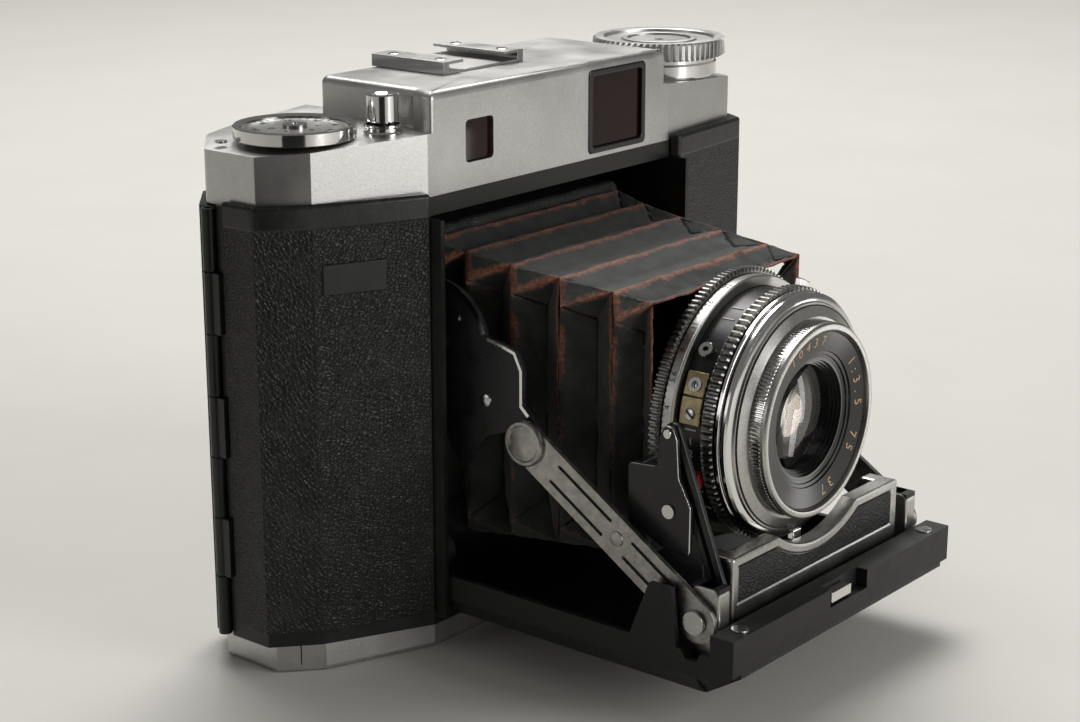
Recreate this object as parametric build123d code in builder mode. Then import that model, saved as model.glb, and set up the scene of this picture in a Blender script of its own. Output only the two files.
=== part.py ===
from build123d import *
import math
import os

# A folding roll-film camera, standing open on its bottom plate.
# Millimetres.  +Z is up, -Y is the way the lens looks, -X is the shutter-button end.
# The origin is the mouth of the tripod socket, in the middle of the bottom plate.

# ---- driving dimensions -------------------------------------------------------------
PLATE_TOP = 5.8        # bottom plate, 0 to here
COVER_BOTTOM = 89.6    # black body from the plate to here
COVER_LOW = 100.4      # low ends of the top cover
COVER_TOP = 108.8      # raised block of the top cover
WALL = 1.8             # body wall

FRONT_Y = -19.7        # front of the cover and of the band above the opening
PILLAR_X, PILLAR_Y = 38.8, -21.2    # inner front edge of the side panels
FACET_X, FACET_Y = 59.2, -11.3      # left end: edge between the slanted panel and the corner chamfer
END_X, END_Y = 67.0, -4.5           # left end: edge between the corner chamfer and the end face
WIDE_X, WIDE_Y = 64.6, -18.5        # the same two edges at the right end, which is fuller
WIDE_END_Y = -14.5
SEAM_Y = 6.0           # where the body stops and the back door begins
BACK_Y = 19.0          # metal back, without its leather

BAY_X = 37.8           # half width of the bay that the front folds into
BAY_BOTTOM, BAY_TOP = 7.6, 86.0
BAY_BACK = 5.6

HINGE_Y, HINGE_Z = -20.0, 20.4      # front door hinge
DOOR_X = 37.5          # half width of the front door
DOOR_FRONT = -89.8     # front of the lip
DOOR_BOTTOM = 8.0
DOOR_FLOOR = 9.6
RIM_Z = 16.2           # top of the door's side rims
LIP_BACK = -84.8

LENS_Z = 49.9          # lens axis
BOARD_Y = -62.0        # back of the lens board
CLEAR = 0.05           # running clearance of pins and shafts, on the radius

LINK_PIVOT = (-18.0, 61.0)          # upper link in the body (y, z)
KNUCKLE = (-41.0, 46.0)             # where the upper link meets the strut
STRUT_PIVOT = (-80.0, 20.9)         # strut on the door
ARM_PIVOT = (-81.5, 24.9)           # standard arm on the door
STANDARD_PIVOT = (-70.74, 53.03)    # standard on its arm

DIAL = (-51.8, -0.3)
BUTTON = (-40.0, -11.2)
KNOB = (51.9, -6.3)
SPOOL = (52.1, 1.5)
FOCUS = (22.0, 8.4)
ROLLER = (37.6, 9.2)
BACK_HINGE = (-67.5, 6.7)
KNUCKLE_R = 1.3
ARM_PIN_R = 0.8


# ---- helpers ------------------------------------------------------------------------
def mirrored(points):
    """An outline symmetric about x = 0, from the points of its right half."""
    return points + [(-x, y) for x, y in reversed(points)]


def two_ended(right, left):
    """An outline from its right half and, written as if on the right too, its left half."""
    return right + [(-x, y) for x, y in reversed(left)]


def plan_slab(points, low, high, mode=Mode.ADD):
    """Extrude a plan outline between two heights, in the current part."""
    with BuildSketch(Plane.XY.offset(low)) as profile:
        with BuildLine():
            Polyline(points, close=True)
        make_face()
    extrude(profile.sketch, amount=high - low, mode=mode)


def side_slab(points, left, right, mode=Mode.ADD):
    """Extrude a side outline, given as (y, z), from x = left to x = right."""
    with BuildSketch(Plane.YZ.offset(left)) as profile:
        with BuildLine():
            Polyline(points, close=True)
        make_face()
    extrude(profile.sketch, amount=right - left, mode=mode)


def block(x, y, z, mode=Mode.ADD):
    """An axis-aligned block between (low, high) pairs."""
    with Locations(((x[0] + x[1]) / 2, (y[0] + y[1]) / 2, (z[0] + z[1]) / 2)):
        Box(x[1] - x[0], y[1] - y[0], z[1] - z[0], mode=mode)


def cross_rod(at, radius, left, right, mode=Mode.ADD):
    """A cylinder along X at (y, z)."""
    with BuildSketch(Plane.YZ.offset(left)) as profile:
        with Locations(at):
            Circle(radius)
    extrude(profile.sketch, amount=right - left, mode=mode)


def lens_disc(radius, back, front, at=(0.0, LENS_Z), mode=Mode.ADD):
    """A cylinder along the lens axis, from y = back forward to y = front."""
    with BuildSketch(Plane.XZ.offset(-back)) as profile:
        with Locations(at):
            Circle(radius)
    extrude(profile.sketch, amount=back - front, mode=mode)


def upright_rod(at, radius, low, high, mode=Mode.ADD):
    """A cylinder along Z at (x, y)."""
    with BuildSketch(Plane.XY.offset(low)) as profile:
        with Locations(at):
            Circle(radius)
    extrude(profile.sketch, amount=high - low, mode=mode)


def lens_ring(outer, inner, back, front):
    """A plain ring around the lens axis."""
    with BuildPart() as piece:
        lens_disc(outer, back, front)
        lens_disc(inner, back, front, mode=Mode.SUBTRACT)
    return piece


def bar_between(start, end, width, left, right, mode=Mode.ADD):
    """A round-ended flat bar in a side plane, from one (y, z) point to another."""
    length = math.dist(start, end)
    middle = ((start[0] + end[0]) / 2, (start[1] + end[1]) / 2)
    slope = math.degrees(math.atan2(end[1] - start[1], end[0] - start[0]))
    with BuildSketch(Plane.YZ.offset(left)) as profile:
        with Locations(middle):
            SlotCenterToCenter(length, width, rotation=slope)
    extrude(profile.sketch, amount=right - left, mode=mode)


def both_sides(low, high):
    """The two mirrored x spans of a piece that comes in a pair."""
    return ((low, high), (-high, -low))


# ---- body ---------------------------------------------------------------------------
def body_outline(inset, back, side):
    """Half outline of the body in plan, from the opening round to the end at that side."""
    corner, end_y = ((WIDE_X, WIDE_Y), WIDE_END_Y) if side > 0 else ((FACET_X, FACET_Y), END_Y)
    return [
        (PILLAR_X, PILLAR_Y + inset),
        (corner[0] - 0.5 * inset, corner[1] + 0.9 * inset),
        (END_X - inset, end_y + 0.4 * inset),
        (END_X - inset, back),
    ]


SHELF_BACK = 17.0      # top and bottom walls reach into the back door
SHELF_X = 64.4
with BuildPart() as body_shell:
    plan_slab(two_ended(body_outline(0, SEAM_Y, 1), body_outline(0, SEAM_Y, -1)), PLATE_TOP, COVER_BOTTOM)
    shelf = [(SHELF_X, SEAM_Y), (SHELF_X, 9.0), (57.0, 16.4), (50.0, SHELF_BACK)]
    plan_slab(mirrored(shelf), PLATE_TOP, COVER_BOTTOM)
    upright_rod(BACK_HINGE, KNUCKLE_R + 0.25, PLATE_TOP, COVER_BOTTOM, mode=Mode.SUBTRACT)
    block((-60, 60), (SEAM_Y, 30), (BAY_BOTTOM, BAY_TOP + WALL), mode=Mode.SUBTRACT)
    for side in (1, -1):
        chamber = body_outline(WALL, SEAM_Y + 20, side) + [(PILLAR_X, SEAM_Y + 20)]
        room = [(side * x, y) for x, y in chamber]
        plan_slab(room, BAY_BOTTOM, BAY_TOP + WALL, mode=Mode.SUBTRACT)
    block((-BAY_X, BAY_X), (-30, 30), (BAY_BOTTOM, BAY_TOP), mode=Mode.SUBTRACT)
    block((-PILLAR_X, PILLAR_X), (-30, FRONT_Y), (BAY_BOTTOM, COVER_BOTTOM), mode=Mode.SUBTRACT)
    for x in both_sides(BAY_X, PILLAR_X):
        block(x, (HINGE_Y - 4.1, SEAM_Y), (BAY_BOTTOM, BAY_TOP))
        cross_rod((HINGE_Y, HINGE_Z), 1.5, x[0], x[1], mode=Mode.SUBTRACT)
    for x in (ROLLER[0], -ROLLER[0]):
        upright_rod((x, ROLLER[1]), 1.0 + CLEAR, PLATE_TOP, COVER_BOTTOM, mode=Mode.SUBTRACT)
    for x in (SPOOL[0], -SPOOL[0]):
        upright_rod((x, SPOOL[1]), 2.4 + CLEAR, PLATE_TOP, BAY_BOTTOM, mode=Mode.SUBTRACT)
    upright_rod(SPOOL, 2.4 + CLEAR, BAY_TOP, COVER_BOTTOM, mode=Mode.SUBTRACT)

LEATHER = 0.5
LEATHER_GAP = 0.4      # bare metal beside the opening
LEATHER_END_Y = 3.4
LEATHER_Z = (8.6, 87.0)


def side_leather(side):
    """Leather round the slanted panel, the corner chamfer and part of the end face."""
    inner = body_outline(0, LEATHER_END_Y, side)
    slope = (inner[1][1] - PILLAR_Y) / (inner[1][0] - PILLAR_X)
    inner[0] = (PILLAR_X + LEATHER_GAP, PILLAR_Y + LEATHER_GAP * slope)
    outer = [(inner[0][0], inner[0][1] - LEATHER), (inner[1][0] + LEATHER / 2, inner[1][1] - LEATHER)]
    outer += [(END_X + LEATHER, inner[2][1] - LEATHER / 2), (END_X + LEATHER, LEATHER_END_Y)]
    with BuildPart() as piece:
        with BuildSketch(Plane.XY.offset(LEATHER_Z[0])):
            with BuildLine():
                Polyline([(side * x, y) for x, y in inner + outer[::-1]], close=True)
            make_face()
        extrude(amount=LEATHER_Z[1] - LEATHER_Z[0])
    return piece


leather_left = side_leather(-1)
leather_right = side_leather(1)

FRAME_FRONT = 3.6
EAR_X = (31.2, 32.1)   # ears that carry the upper links
LINK_PIN_R = 1.2
with BuildPart() as bellows_frame:
    block((-BAY_X, BAY_X), (FRAME_FRONT, BAY_BACK), (BAY_BOTTOM, BAY_TOP))
    block((-29, 29), (0, 10), (LENS_Z - 28, LENS_Z + 28), mode=Mode.SUBTRACT)
    for x in both_sides(*EAR_X):
        side_slab([(FRAME_FRONT, 58.0), (FRAME_FRONT, 70.0), (-16.0, 65.0), (-21.0, 63.0),
                   (-21.0, 59.0), (-16.0, 57.5)], x[0], x[1])
        cross_rod(LINK_PIVOT, LINK_PIN_R, x[0], x[1], mode=Mode.SUBTRACT)

# ---- bottom plate and tripod socket -------------------------------------------------
PLATE_BACK = [(65.4, 8.6), (57.4, 16.6), (50.0, 17.4)]
PLATE_LEFT = [(37.2, FRONT_Y), (58.4, -11.2), (65.4, -4.8)] + PLATE_BACK
PLATE_RIGHT = [(37.2, FRONT_Y), (62.7, -16.7), (65.4, -12.7)] + PLATE_BACK
SOCKET_R = 3.0
with BuildPart() as bottom_plate:
    plan_slab(two_ended(PLATE_RIGHT, PLATE_LEFT), 0, PLATE_TOP)
    fillet(bottom_plate.edges().group_by(Axis.Z)[0], radius=1.2)
    for x in both_sides(12.0, 34.0):
        block(x, (-17.5, 15), (1.6, PLATE_TOP), mode=Mode.SUBTRACT)
    for x in both_sides(38.0, 62.0):
        block(x, (-8.0, 8), (1.6, PLATE_TOP), mode=Mode.SUBTRACT)
    upright_rod((0, 0), 8.0, 0, PLATE_TOP, mode=Mode.SUBTRACT)

with BuildPart() as tripod_socket:
    upright_rod((0, 0), 8.0, 0, PLATE_TOP - 0.2)
    upright_rod((0, 0), SOCKET_R, 0, 5.0, mode=Mode.SUBTRACT)

# ---- top cover ----------------------------------------------------------------------
COVER_BACK = [(66.0, 8.8), (57.8, 17.0), (50.0, 18.6)]
COVER_LEFT = [(37.2, FRONT_Y), (58.7, -11.0), (66.0, -4.1)] + COVER_BACK
COVER_RIGHT = [(37.2, FRONT_Y), (63.2, -16.8), (66.0, -12.6)] + COVER_BACK
SKIN = 1.4
BLOCK_RIGHT = 35.6
BLOCK_BACK = 11.0
BLOCK_OUTLINE = [(BLOCK_RIGHT, FRONT_Y), (BLOCK_RIGHT, BLOCK_BACK), (-34.2, BLOCK_BACK),
                 (-34.6, -14.0), (-36.3, -17.0), (-36.5, FRONT_Y)]
SMALL_WINDOW = ((-26.7, -18.7), (94.4, 102.5))
FINDER = ((10.3, 29.1), (90.4, 107.3))
WHEEL_Z = (92.6, 97.2)
EYEPIECE = (19.7, 104.3)
with BuildPart() as top_cover:
    plan_slab(two_ended(COVER_RIGHT, COVER_LEFT), COVER_BOTTOM, COVER_LOW)
    plan_slab(BLOCK_OUTLINE, COVER_LOW, COVER_TOP)
    fillet(top_cover.edges().group_by(Axis.Z)[-1], radius=1.2)
    room_back = [(64.6, 8.2), (57.0, 15.6), (50.0, 17.2)]
    room_left = [(36.6, FRONT_Y + SKIN), (58.2, -9.6), (64.6, -3.4)] + room_back
    room_right = [(36.6, FRONT_Y + SKIN), (62.4, -15.4), (64.6, -12.1)] + room_back
    plan_slab(two_ended(room_right, room_left), COVER_BOTTOM, COVER_LOW - SKIN, mode=Mode.SUBTRACT)
    block((-33.0, BLOCK_RIGHT - SKIN), (FRONT_Y + SKIN, BLOCK_BACK - SKIN),
          (COVER_BOTTOM, COVER_TOP - SKIN), mode=Mode.SUBTRACT)
    for span, height in (SMALL_WINDOW, FINDER):
        block(span, (FRONT_Y - 1, FRONT_Y + SKIN + 0.2), height, mode=Mode.SUBTRACT)
    upright_rod(BUTTON, 1.6, COVER_LOW - 3, COVER_LOW + 1, mode=Mode.SUBTRACT)
    upright_rod(KNOB, 3.2 + CLEAR, COVER_LOW - 3, COVER_LOW + 1, mode=Mode.SUBTRACT)
    upright_rod(DIAL, 2.0 + CLEAR, COVER_LOW - 3, COVER_LOW + 1, mode=Mode.SUBTRACT)
    block((FOCUS[0] - 10.5, FOCUS[0] + 10.5), (14, 24), (WHEEL_Z[0] - 0.4, WHEEL_Z[1] + 0.4),
          mode=Mode.SUBTRACT)
    lens_disc(2.8, BLOCK_BACK + 1, BLOCK_BACK - SKIN - 1, at=EYEPIECE, mode=Mode.SUBTRACT)

with BuildPart() as body_screws:
    for x in (-63.2, 63.2):
        upright_rod((x, 7.2), 1.1, COVER_LOW, COVER_LOW + 0.4)
    for x in (-60.0, 60.0):
        upright_rod((x, 6.4), 1.2, 1.6, 3.2)

SHOE_Y = (-7.8, 11.0)
with BuildPart() as accessory_shoe:
    for rail, gap in (((-19.4, -13.6), (-17.6, -13.6)), ((-1.4, 4.4), (-1.4, 2.6))):
        block(rail, SHOE_Y, (COVER_TOP, COVER_TOP + 2.5))
        block(gap, (-30, 30), (COVER_TOP + 0.6, COVER_TOP + 1.9), mode=Mode.SUBTRACT)
    block((-13.6, -1.4), SHOE_Y, (COVER_TOP, COVER_TOP + 0.6))

FRAME_RIM = 1.3
with BuildPart() as finder_frame:
    block((FINDER[0][0], FINDER[0][1]), (FRONT_Y - 0.3, FRONT_Y + SKIN), FINDER[1])
    block((FINDER[0][0] + FRAME_RIM, FINDER[0][1] - FRAME_RIM), (FRONT_Y - 1, FRONT_Y + SKIN),
          (FINDER[1][0] + FRAME_RIM, FINDER[1][1] - FRAME_RIM), mode=Mode.SUBTRACT)

with BuildPart() as window_glass:
    block((FINDER[0][0] + FRAME_RIM, FINDER[0][1] - FRAME_RIM), (FRONT_Y + 0.5, FRONT_Y + SKIN),
          (FINDER[1][0] + FRAME_RIM, FINDER[1][1] - FRAME_RIM))
    block(SMALL_WINDOW[0], (FRONT_Y + 0.8, FRONT_Y + SKIN), SMALL_WINDOW[1])

with BuildPart() as half_mirror:
    side_slab([(-9.0, 98.4), (-8.3, 98.4), (-0.3, 107.2), (-1.0, 107.2)], 12.0, 27.0)

with BuildPart() as eyepiece:
    lens_disc(3.7, BLOCK_BACK + 2.2, BLOCK_BACK, at=EYEPIECE)
    lens_disc(2.8, BLOCK_BACK, BLOCK_BACK - SKIN, at=EYEPIECE)
    lens_disc(2.0, BLOCK_BACK + 3, BLOCK_BACK - 3, at=EYEPIECE, mode=Mode.SUBTRACT)

# ---- controls on the cover ----------------------------------------------------------
with BuildPart() as reminder_dial:
    upright_rod(DIAL, 11.4, COVER_LOW + 0.2, COVER_LOW + 2.8)
    upright_rod(DIAL, 9.6, COVER_LOW + 2.0, COVER_LOW + 3, mode=Mode.SUBTRACT)
    upright_rod(DIAL, 2.0, COVER_LOW - 2.4, COVER_LOW + 0.2)

with BuildPart() as button_collar:
    upright_rod(BUTTON, 3.6, COVER_LOW, COVER_LOW + 2.4)
    upright_rod(BUTTON, 3.1, COVER_LOW + 0.8, COVER_LOW + 3, mode=Mode.SUBTRACT)
    upright_rod(BUTTON, 1.6, COVER_LOW - 1, COVER_LOW + 1, mode=Mode.SUBTRACT)

BUTTON_TOP = COVER_LOW + 8.0
BUTTON_TRAVEL = 2.0
with BuildPart() as shutter_button:
    upright_rod(BUTTON, 3.0, COVER_LOW + 3.0, BUTTON_TOP)
    upright_rod(BUTTON, 1.5, COVER_LOW - 4.6, COVER_LOW + 3.0)
    upright_rod(BUTTON, 0.9, BUTTON_TOP - 4.0, BUTTON_TOP, mode=Mode.SUBTRACT)
    fillet(shutter_button.edges().filter_by(GeomType.CIRCLE).group_by(Axis.Z)[-1].sort_by(SortBy.RADIUS)[-1],
           radius=0.5)

KNOB_R = 14.25
KNOB_Z = (COVER_LOW + 0.5, 108.7)
KNURLS = 64
with BuildPart() as advance_knob:
    upright_rod(KNOB, 12.4, KNOB_Z[0], KNOB_Z[1] - 3.8)
    upright_rod(KNOB, KNOB_R, KNOB_Z[1] - 3.8, KNOB_Z[1])
    upright_rod(KNOB, 3.2, 94.6, KNOB_Z[0])
    upright_rod(KNOB, 11.6, KNOB_Z[1] - 0.5, KNOB_Z[1] + 1, mode=Mode.SUBTRACT)
    with BuildSketch(Plane.XY.offset(KNOB_Z[1] - 3.4)):
        with Locations(KNOB):
            with PolarLocations(KNOB_R, KNURLS):
                Rectangle(1.2, 0.7)
    extrude(amount=3.0, mode=Mode.SUBTRACT)

GEAR_TEETH = 12
GEAR_PITCH_R = math.dist(KNOB, SPOOL) / 2
GEAR_Z = (91.4, 94.6)


def add_gear(centre, towards, on_tooth):
    """A small gear in the current part; on_tooth puts a tooth on the line to its mate."""
    facing = math.degrees(math.atan2(towards[1] - centre[1], towards[0] - centre[0]))
    first = facing if on_tooth else facing + 180 / GEAR_TEETH
    module = 2 * GEAR_PITCH_R / GEAR_TEETH
    upright_rod(centre, GEAR_PITCH_R - 1.05 * module, GEAR_Z[0], GEAR_Z[1])
    with BuildSketch(Plane.XY.offset(GEAR_Z[0])) as teeth:
        with Locations(centre):
            with PolarLocations(GEAR_PITCH_R - 0.15 * module, GEAR_TEETH, start_angle=first):
                Rectangle(1.9 * module, 0.9 * module)
    extrude(teeth.sketch, amount=GEAR_Z[1] - GEAR_Z[0])


SPOOL_Z = (BAY_BOTTOM + 4.9, BAY_BOTTOM + 71.1)
with BuildPart() as knob_gear:
    add_gear(KNOB, SPOOL, True)
    upright_rod(KNOB, 1.5, 90.6, GEAR_Z[1])

with BuildPart() as takeup_key:
    add_gear(SPOOL, KNOB, False)
    upright_rod(SPOOL, 2.4, SPOOL_Z[1] + 0.1, GEAR_Z[0])
    upright_rod(SPOOL, 6.0, SPOOL_Z[1] + 0.1, SPOOL_Z[1] + 1.3)

with BuildPart() as focus_wheel:
    upright_rod(FOCUS, 12.4, WHEEL_Z[0], WHEEL_Z[1])
    upright_rod(FOCUS, 1.6, COVER_BOTTOM + 0.1, COVER_LOW - SKIN - 0.3)
    with BuildSketch(Plane.XY.offset(WHEEL_Z[0] + 0.4)):
        with Locations(FOCUS):
            with PolarLocations(12.4, 60):
                Rectangle(0.8, 0.6)
    extrude(amount=WHEEL_Z[1] - WHEEL_Z[0] - 0.8, mode=Mode.SUBTRACT)

# ---- film path ----------------------------------------------------------------------
SPOOL_FLANGE = 12.4
with BuildPart() as takeup_spool:
    upright_rod(SPOOL, 5.6, SPOOL_Z[0], SPOOL_Z[1])
    for low in (SPOOL_Z[0], SPOOL_Z[1] - 0.8):
        upright_rod(SPOOL, SPOOL_FLANGE, low, low + 0.8)
    upright_rod(SPOOL, 2.45, SPOOL_Z[0] - 1, SPOOL_Z[0] + 4, mode=Mode.SUBTRACT)

with BuildPart() as spool_pins:
    for x in (SPOOL[0], -SPOOL[0]):
        upright_rod((x, SPOOL[1]), 2.4, PLATE_TOP, SPOOL_Z[0] + 3)

ROLLER_Z = (BAY_BOTTOM + 0.3, BAY_TOP + 1.5)


def film_roller(x):
    """A guide roller turning on its own thin ends."""
    with BuildPart() as piece:
        upright_rod((x, ROLLER[1]), 1.9, ROLLER_Z[0], ROLLER_Z[1])
        upright_rod((x, ROLLER[1]), 1.0, PLATE_TOP + 0.2, COVER_BOTTOM - 0.2)
    return piece


roller_left = film_roller(-ROLLER[0])
roller_right = film_roller(ROLLER[0])

GATE_Y = (8.0, 9.4)
GATE_TRAVEL = 5.8
GATE_HALF = 28.0
with BuildPart() as film_gate:
    block((-34.0, 34.0), GATE_Y, (12.0, 84.0))
    block((-GATE_HALF, GATE_HALF), (0, 20), (LENS_Z - GATE_HALF, LENS_Z + GATE_HALF), mode=Mode.SUBTRACT)
    for x in both_sides(30.0, 31.6):
        block(x, (GATE_Y[1], GATE_Y[1] + 0.5), (14.0, 82.0))

# ---- back door ----------------------------------------------------------------------
BACK_Z = (PLATE_TOP + 0.3, COVER_BOTTOM - 0.3)
KNUCKLES = 7
PITCH = (BACK_Z[1] - BACK_Z[0]) / KNUCKLES


def hinge_knuckles(first):
    """Every second knuckle of the back hinge, added to the current part."""
    for index in range(first, KNUCKLES, 2):
        low = BACK_Z[0] + index * PITCH + 0.1
        upright_rod(BACK_HINGE, KNUCKLE_R, low, low + PITCH - 0.2)


BACK_OUTLINE = [(END_X, SEAM_Y + 0.3), (END_X, 9.6), (58.6, 17.8), (50.0, BACK_Y)]
BACK_INNER = [(65.4, SEAM_Y - 1), (65.4, 9.3), (57.8, 16.9), (50.0, 17.6)]
with BuildPart() as back_door:
    plan_slab(mirrored(BACK_OUTLINE), BACK_Z[0], BACK_Z[1])
    plan_slab(mirrored(BACK_INNER), BACK_Z[0], BACK_Z[1], mode=Mode.SUBTRACT)
    for index in range(0, KNUCKLES):
        low = BACK_Z[0] + index * PITCH
        if index % 2:
            upright_rod(BACK_HINGE, KNUCKLE_R + 0.25, low - 0.05, low + PITCH + 0.05, mode=Mode.SUBTRACT)
    hinge_knuckles(0)
    upright_rod(BACK_HINGE, 0.6 + CLEAR, BACK_Z[0] - 1, BACK_Z[1] + 1, mode=Mode.SUBTRACT)

with BuildPart() as back_hinge:
    hinge_knuckles(1)
    for index in range(1, KNUCKLES, 2):
        low = BACK_Z[0] + index * PITCH + 0.1
        block((-68.2, -67.0), (3.9, 6.0), (low, low + PITCH - 0.2))
    upright_rod(BACK_HINGE, 0.6, BACK_Z[0] - 1, BACK_Z[1] + 1, mode=Mode.SUBTRACT)

with BuildPart() as back_leather:
    block((-50.0, 50.0), (BACK_Y, BACK_Y + 0.6), (9.0, 86.6))

with BuildPart() as pressure_plate:
    block((-31.0, 31.0), (16.2, 17.0), (18.0, 82.0))

with BuildPart() as pressure_springs:
    for x in (-18.0, 18.0):
        block((x - 3, x + 3), (17.0, 17.6), (30.0, 70.0))

with BuildPart() as back_latch:
    block((END_X, END_X + 1.6), (3.9, 5.9), (42.0, 54.0))

# ---- front door ---------------------------------------------------------------------
FLOOR_BACK = HINGE_Y - 0.4
SIDE_PROFILE = [(FLOOR_BACK, 0.0), (-82.5, 0.0), (DOOR_FRONT, 13.2), (DOOR_FRONT, 30.0), (FLOOR_BACK, 30.0)]
ROLL_OUTER = HINGE_Z - DOOR_BOTTOM
ROLL_MIDDLE = ROLL_OUTER - 1.0
ROLL_INNER = HINGE_Z - DOOR_FLOOR
HUB_X = 37.4           # outer face of the door's hinge hubs


def roll_sector(outer, inner, left, right):
    """The rolled back end of the door, a quarter ring round the hinge."""
    with BuildSketch(Plane.YZ.offset(left)) as profile:
        with Locations((HINGE_Y, HINGE_Z)):
            Circle(outer)
            if inner:
                Circle(inner, mode=Mode.SUBTRACT)
        with Locations((FLOOR_BACK + 10.0, HINGE_Z - 10.0)):
            Rectangle(20.0, 20.0, mode=Mode.INTERSECT)
    extrude(profile.sketch, amount=right - left)


def door_section(points):
    """Extrude a cross-section of the door, as (x, z), along its length."""
    with BuildSketch(Plane.XZ.offset(-FLOOR_BACK)) as profile:
        with BuildLine():
            Polyline(points, close=True)
        make_face()
    extrude(profile.sketch, amount=FLOOR_BACK - DOOR_FRONT)


with BuildPart() as door_tray:
    trough = [(DOOR_X, RIM_Z), (DOOR_X, 11.6), (35.0, 9.0)]
    inside = [(34.5, DOOR_FLOOR), (36.3, 11.6), (36.3, RIM_Z)]
    door_section(mirrored(trough) + [(-x, z) for x, z in reversed(inside)] + inside)
    side_slab([(LIP_BACK, DOOR_FLOOR), (DOOR_FRONT, DOOR_FLOOR), (DOOR_FRONT, HINGE_Z), (LIP_BACK, HINGE_Z)],
              -DOOR_X, DOOR_X)
    side_slab([(-82.0, 0.0), (-83.4, 9.0), (DOOR_FRONT, 13.4), (DOOR_FRONT - 1, 13.4), (DOOR_FRONT - 1, 0.0)],
              -40, 40, mode=Mode.SUBTRACT)
    for x in both_sides(36.3, DOOR_X):
        side_slab([(-67.2, RIM_Z), (-71.4, 27.0), (-76.2, 27.0), (-77.5, RIM_Z)], x[0], x[1])
        side_slab([(-77.7, RIM_Z + 1), (-79.6, 14.6), (-82.0, 14.6), (-83.2, RIM_Z + 1)], x[0], x[1],
                  mode=Mode.SUBTRACT)
    roll_sector(ROLL_MIDDLE, ROLL_INNER, -34.9, 34.9)
    for x in both_sides(34.9, HUB_X):
        roll_sector(ROLL_MIDDLE, 0, x[0], x[1])
        cross_rod((HINGE_Y, HINGE_Z), 3.4, x[0], x[1])
        cross_rod((HINGE_Y, HINGE_Z), 1.5 + CLEAR, x[0], x[1], mode=Mode.SUBTRACT)
    for x in both_sides(30.5, 33.8):
        block(x, (-84.0, -78.2), (DOOR_FLOOR, 27.4))
        cross_rod(STRUT_PIVOT, 1.0, x[0], x[1], mode=Mode.SUBTRACT)
    cross_rod(ARM_PIVOT, ARM_PIN_R, -33.8, -30.5, mode=Mode.SUBTRACT)
    block((-6.0, 6.8), (DOOR_FRONT - 1, DOOR_FRONT + 2.4), (16.8, HINGE_Z + 1), mode=Mode.SUBTRACT)
    for x in (-32.0, 32.0):
        upright_rod((x, -87.4), 1.6, HINGE_Z - 1.6, HINGE_Z + 1, mode=Mode.SUBTRACT)

with BuildPart() as door_leather:
    skin = [(DOOR_X, 11.6), (35.9, 8.5), (34.9, DOOR_BOTTOM)]
    with BuildSketch(Plane.XZ.offset(-FLOOR_BACK)):
        with BuildLine():
            Polyline(skin + [(-x, z) for x, z in reversed(skin)] + [(-35.0, 9.0), (35.0, 9.0)], close=True)
        make_face()
    extrude(amount=FLOOR_BACK + 82.0)
    side_slab([(-82.0, 8.0), (-82.6, 8.1), (DOOR_FRONT, 12.6), (DOOR_FRONT, 13.4),
               (-83.4, 9.0), (-82.0, 9.0)],
              -34.9, 34.9)
    roll_sector(ROLL_OUTER, ROLL_MIDDLE, -37.2, 37.2)

with BuildPart() as latch_tongue:
    block((-5.2, 1.6), (DOOR_FRONT + 0.2, DOOR_FRONT + 2.2), (17.4, 19.4))

# The trimmed bracket that stands on the door in front of the shutter.
BRACKET_X = 28.2
BRACKET_Y = (-79.4, -83.0)
BRACKET_TOP = 31.2
ARC_R = 22.9
BORDER = 2.0


def inset_outline():
    """The leather field inside the bracket's border."""
    low, high = HINGE_Z + 2.2, BRACKET_TOP - BORDER
    with Locations((0, (low + high) / 2)):
        Rectangle(2 * (BRACKET_X - BORDER), high - low)
    with Locations((0, LENS_Z)):
        Circle(ARC_R + BORDER, mode=Mode.SUBTRACT)


with BuildPart() as bracket_frame:
    with BuildSketch(Plane.XZ.offset(-BRACKET_Y[0])):
        with Locations((0, (DOOR_FLOOR + BRACKET_TOP) / 2)):
            Rectangle(2 * BRACKET_X, BRACKET_TOP - DOOR_FLOOR)
        with Locations((0, LENS_Z)):
            Circle(ARC_R, mode=Mode.SUBTRACT)
    extrude(amount=BRACKET_Y[0] - BRACKET_Y[1])
    for x in both_sides(24.6, BRACKET_X):
        side_slab([(-79.4, 14.0), (-76.6, 24.0), (-76.0, 30.0), (-77.0, BRACKET_TOP), (-79.4, BRACKET_TOP)],
                  x[0], x[1])
    with BuildSketch(Plane.XZ.offset(-BRACKET_Y[1] - 0.8)):
        inset_outline()
    extrude(amount=2.0, mode=Mode.SUBTRACT)

with BuildPart() as bracket_leather:
    with BuildSketch(Plane.XZ.offset(-BRACKET_Y[1] - 0.8)):
        inset_outline()
    extrude(amount=0.65)

# ---- folding links ------------------------------------------------------------------
LINK_X = (32.2, 33.2)
STRUT_X = (34.1, 35.1)
ARM_X = (-30.2, -29.2)
FLANGE_X = (-31.5, -30.5)

with BuildPart() as upper_links:
    for x in both_sides(*LINK_X):
        with BuildSketch(Plane.YZ.offset(x[0])):
            with BuildLine():
                arc = ThreePointArc((-18.4, 73.3), (-26.7, 69.7), (-29.9, 64.0))
                edge = Polyline(arc @ 1, (-33.6, 63.3), (-37.3, 62.4), (-38.8, 59.0), (-38.8, 52.0),
                                (-45.0, 46.4),
                                (-41.5, 41.8), (-36.0, 46.8), (-30.0, 44.6), (-23.6, 36.6), (-15.2, 50.0),
                                (-13.2, 61.0), arc @ 0)
            make_face()
        extrude(amount=x[1] - x[0])
        cross_rod(LINK_PIVOT, LINK_PIN_R + CLEAR, x[0], x[1], mode=Mode.SUBTRACT)

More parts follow.
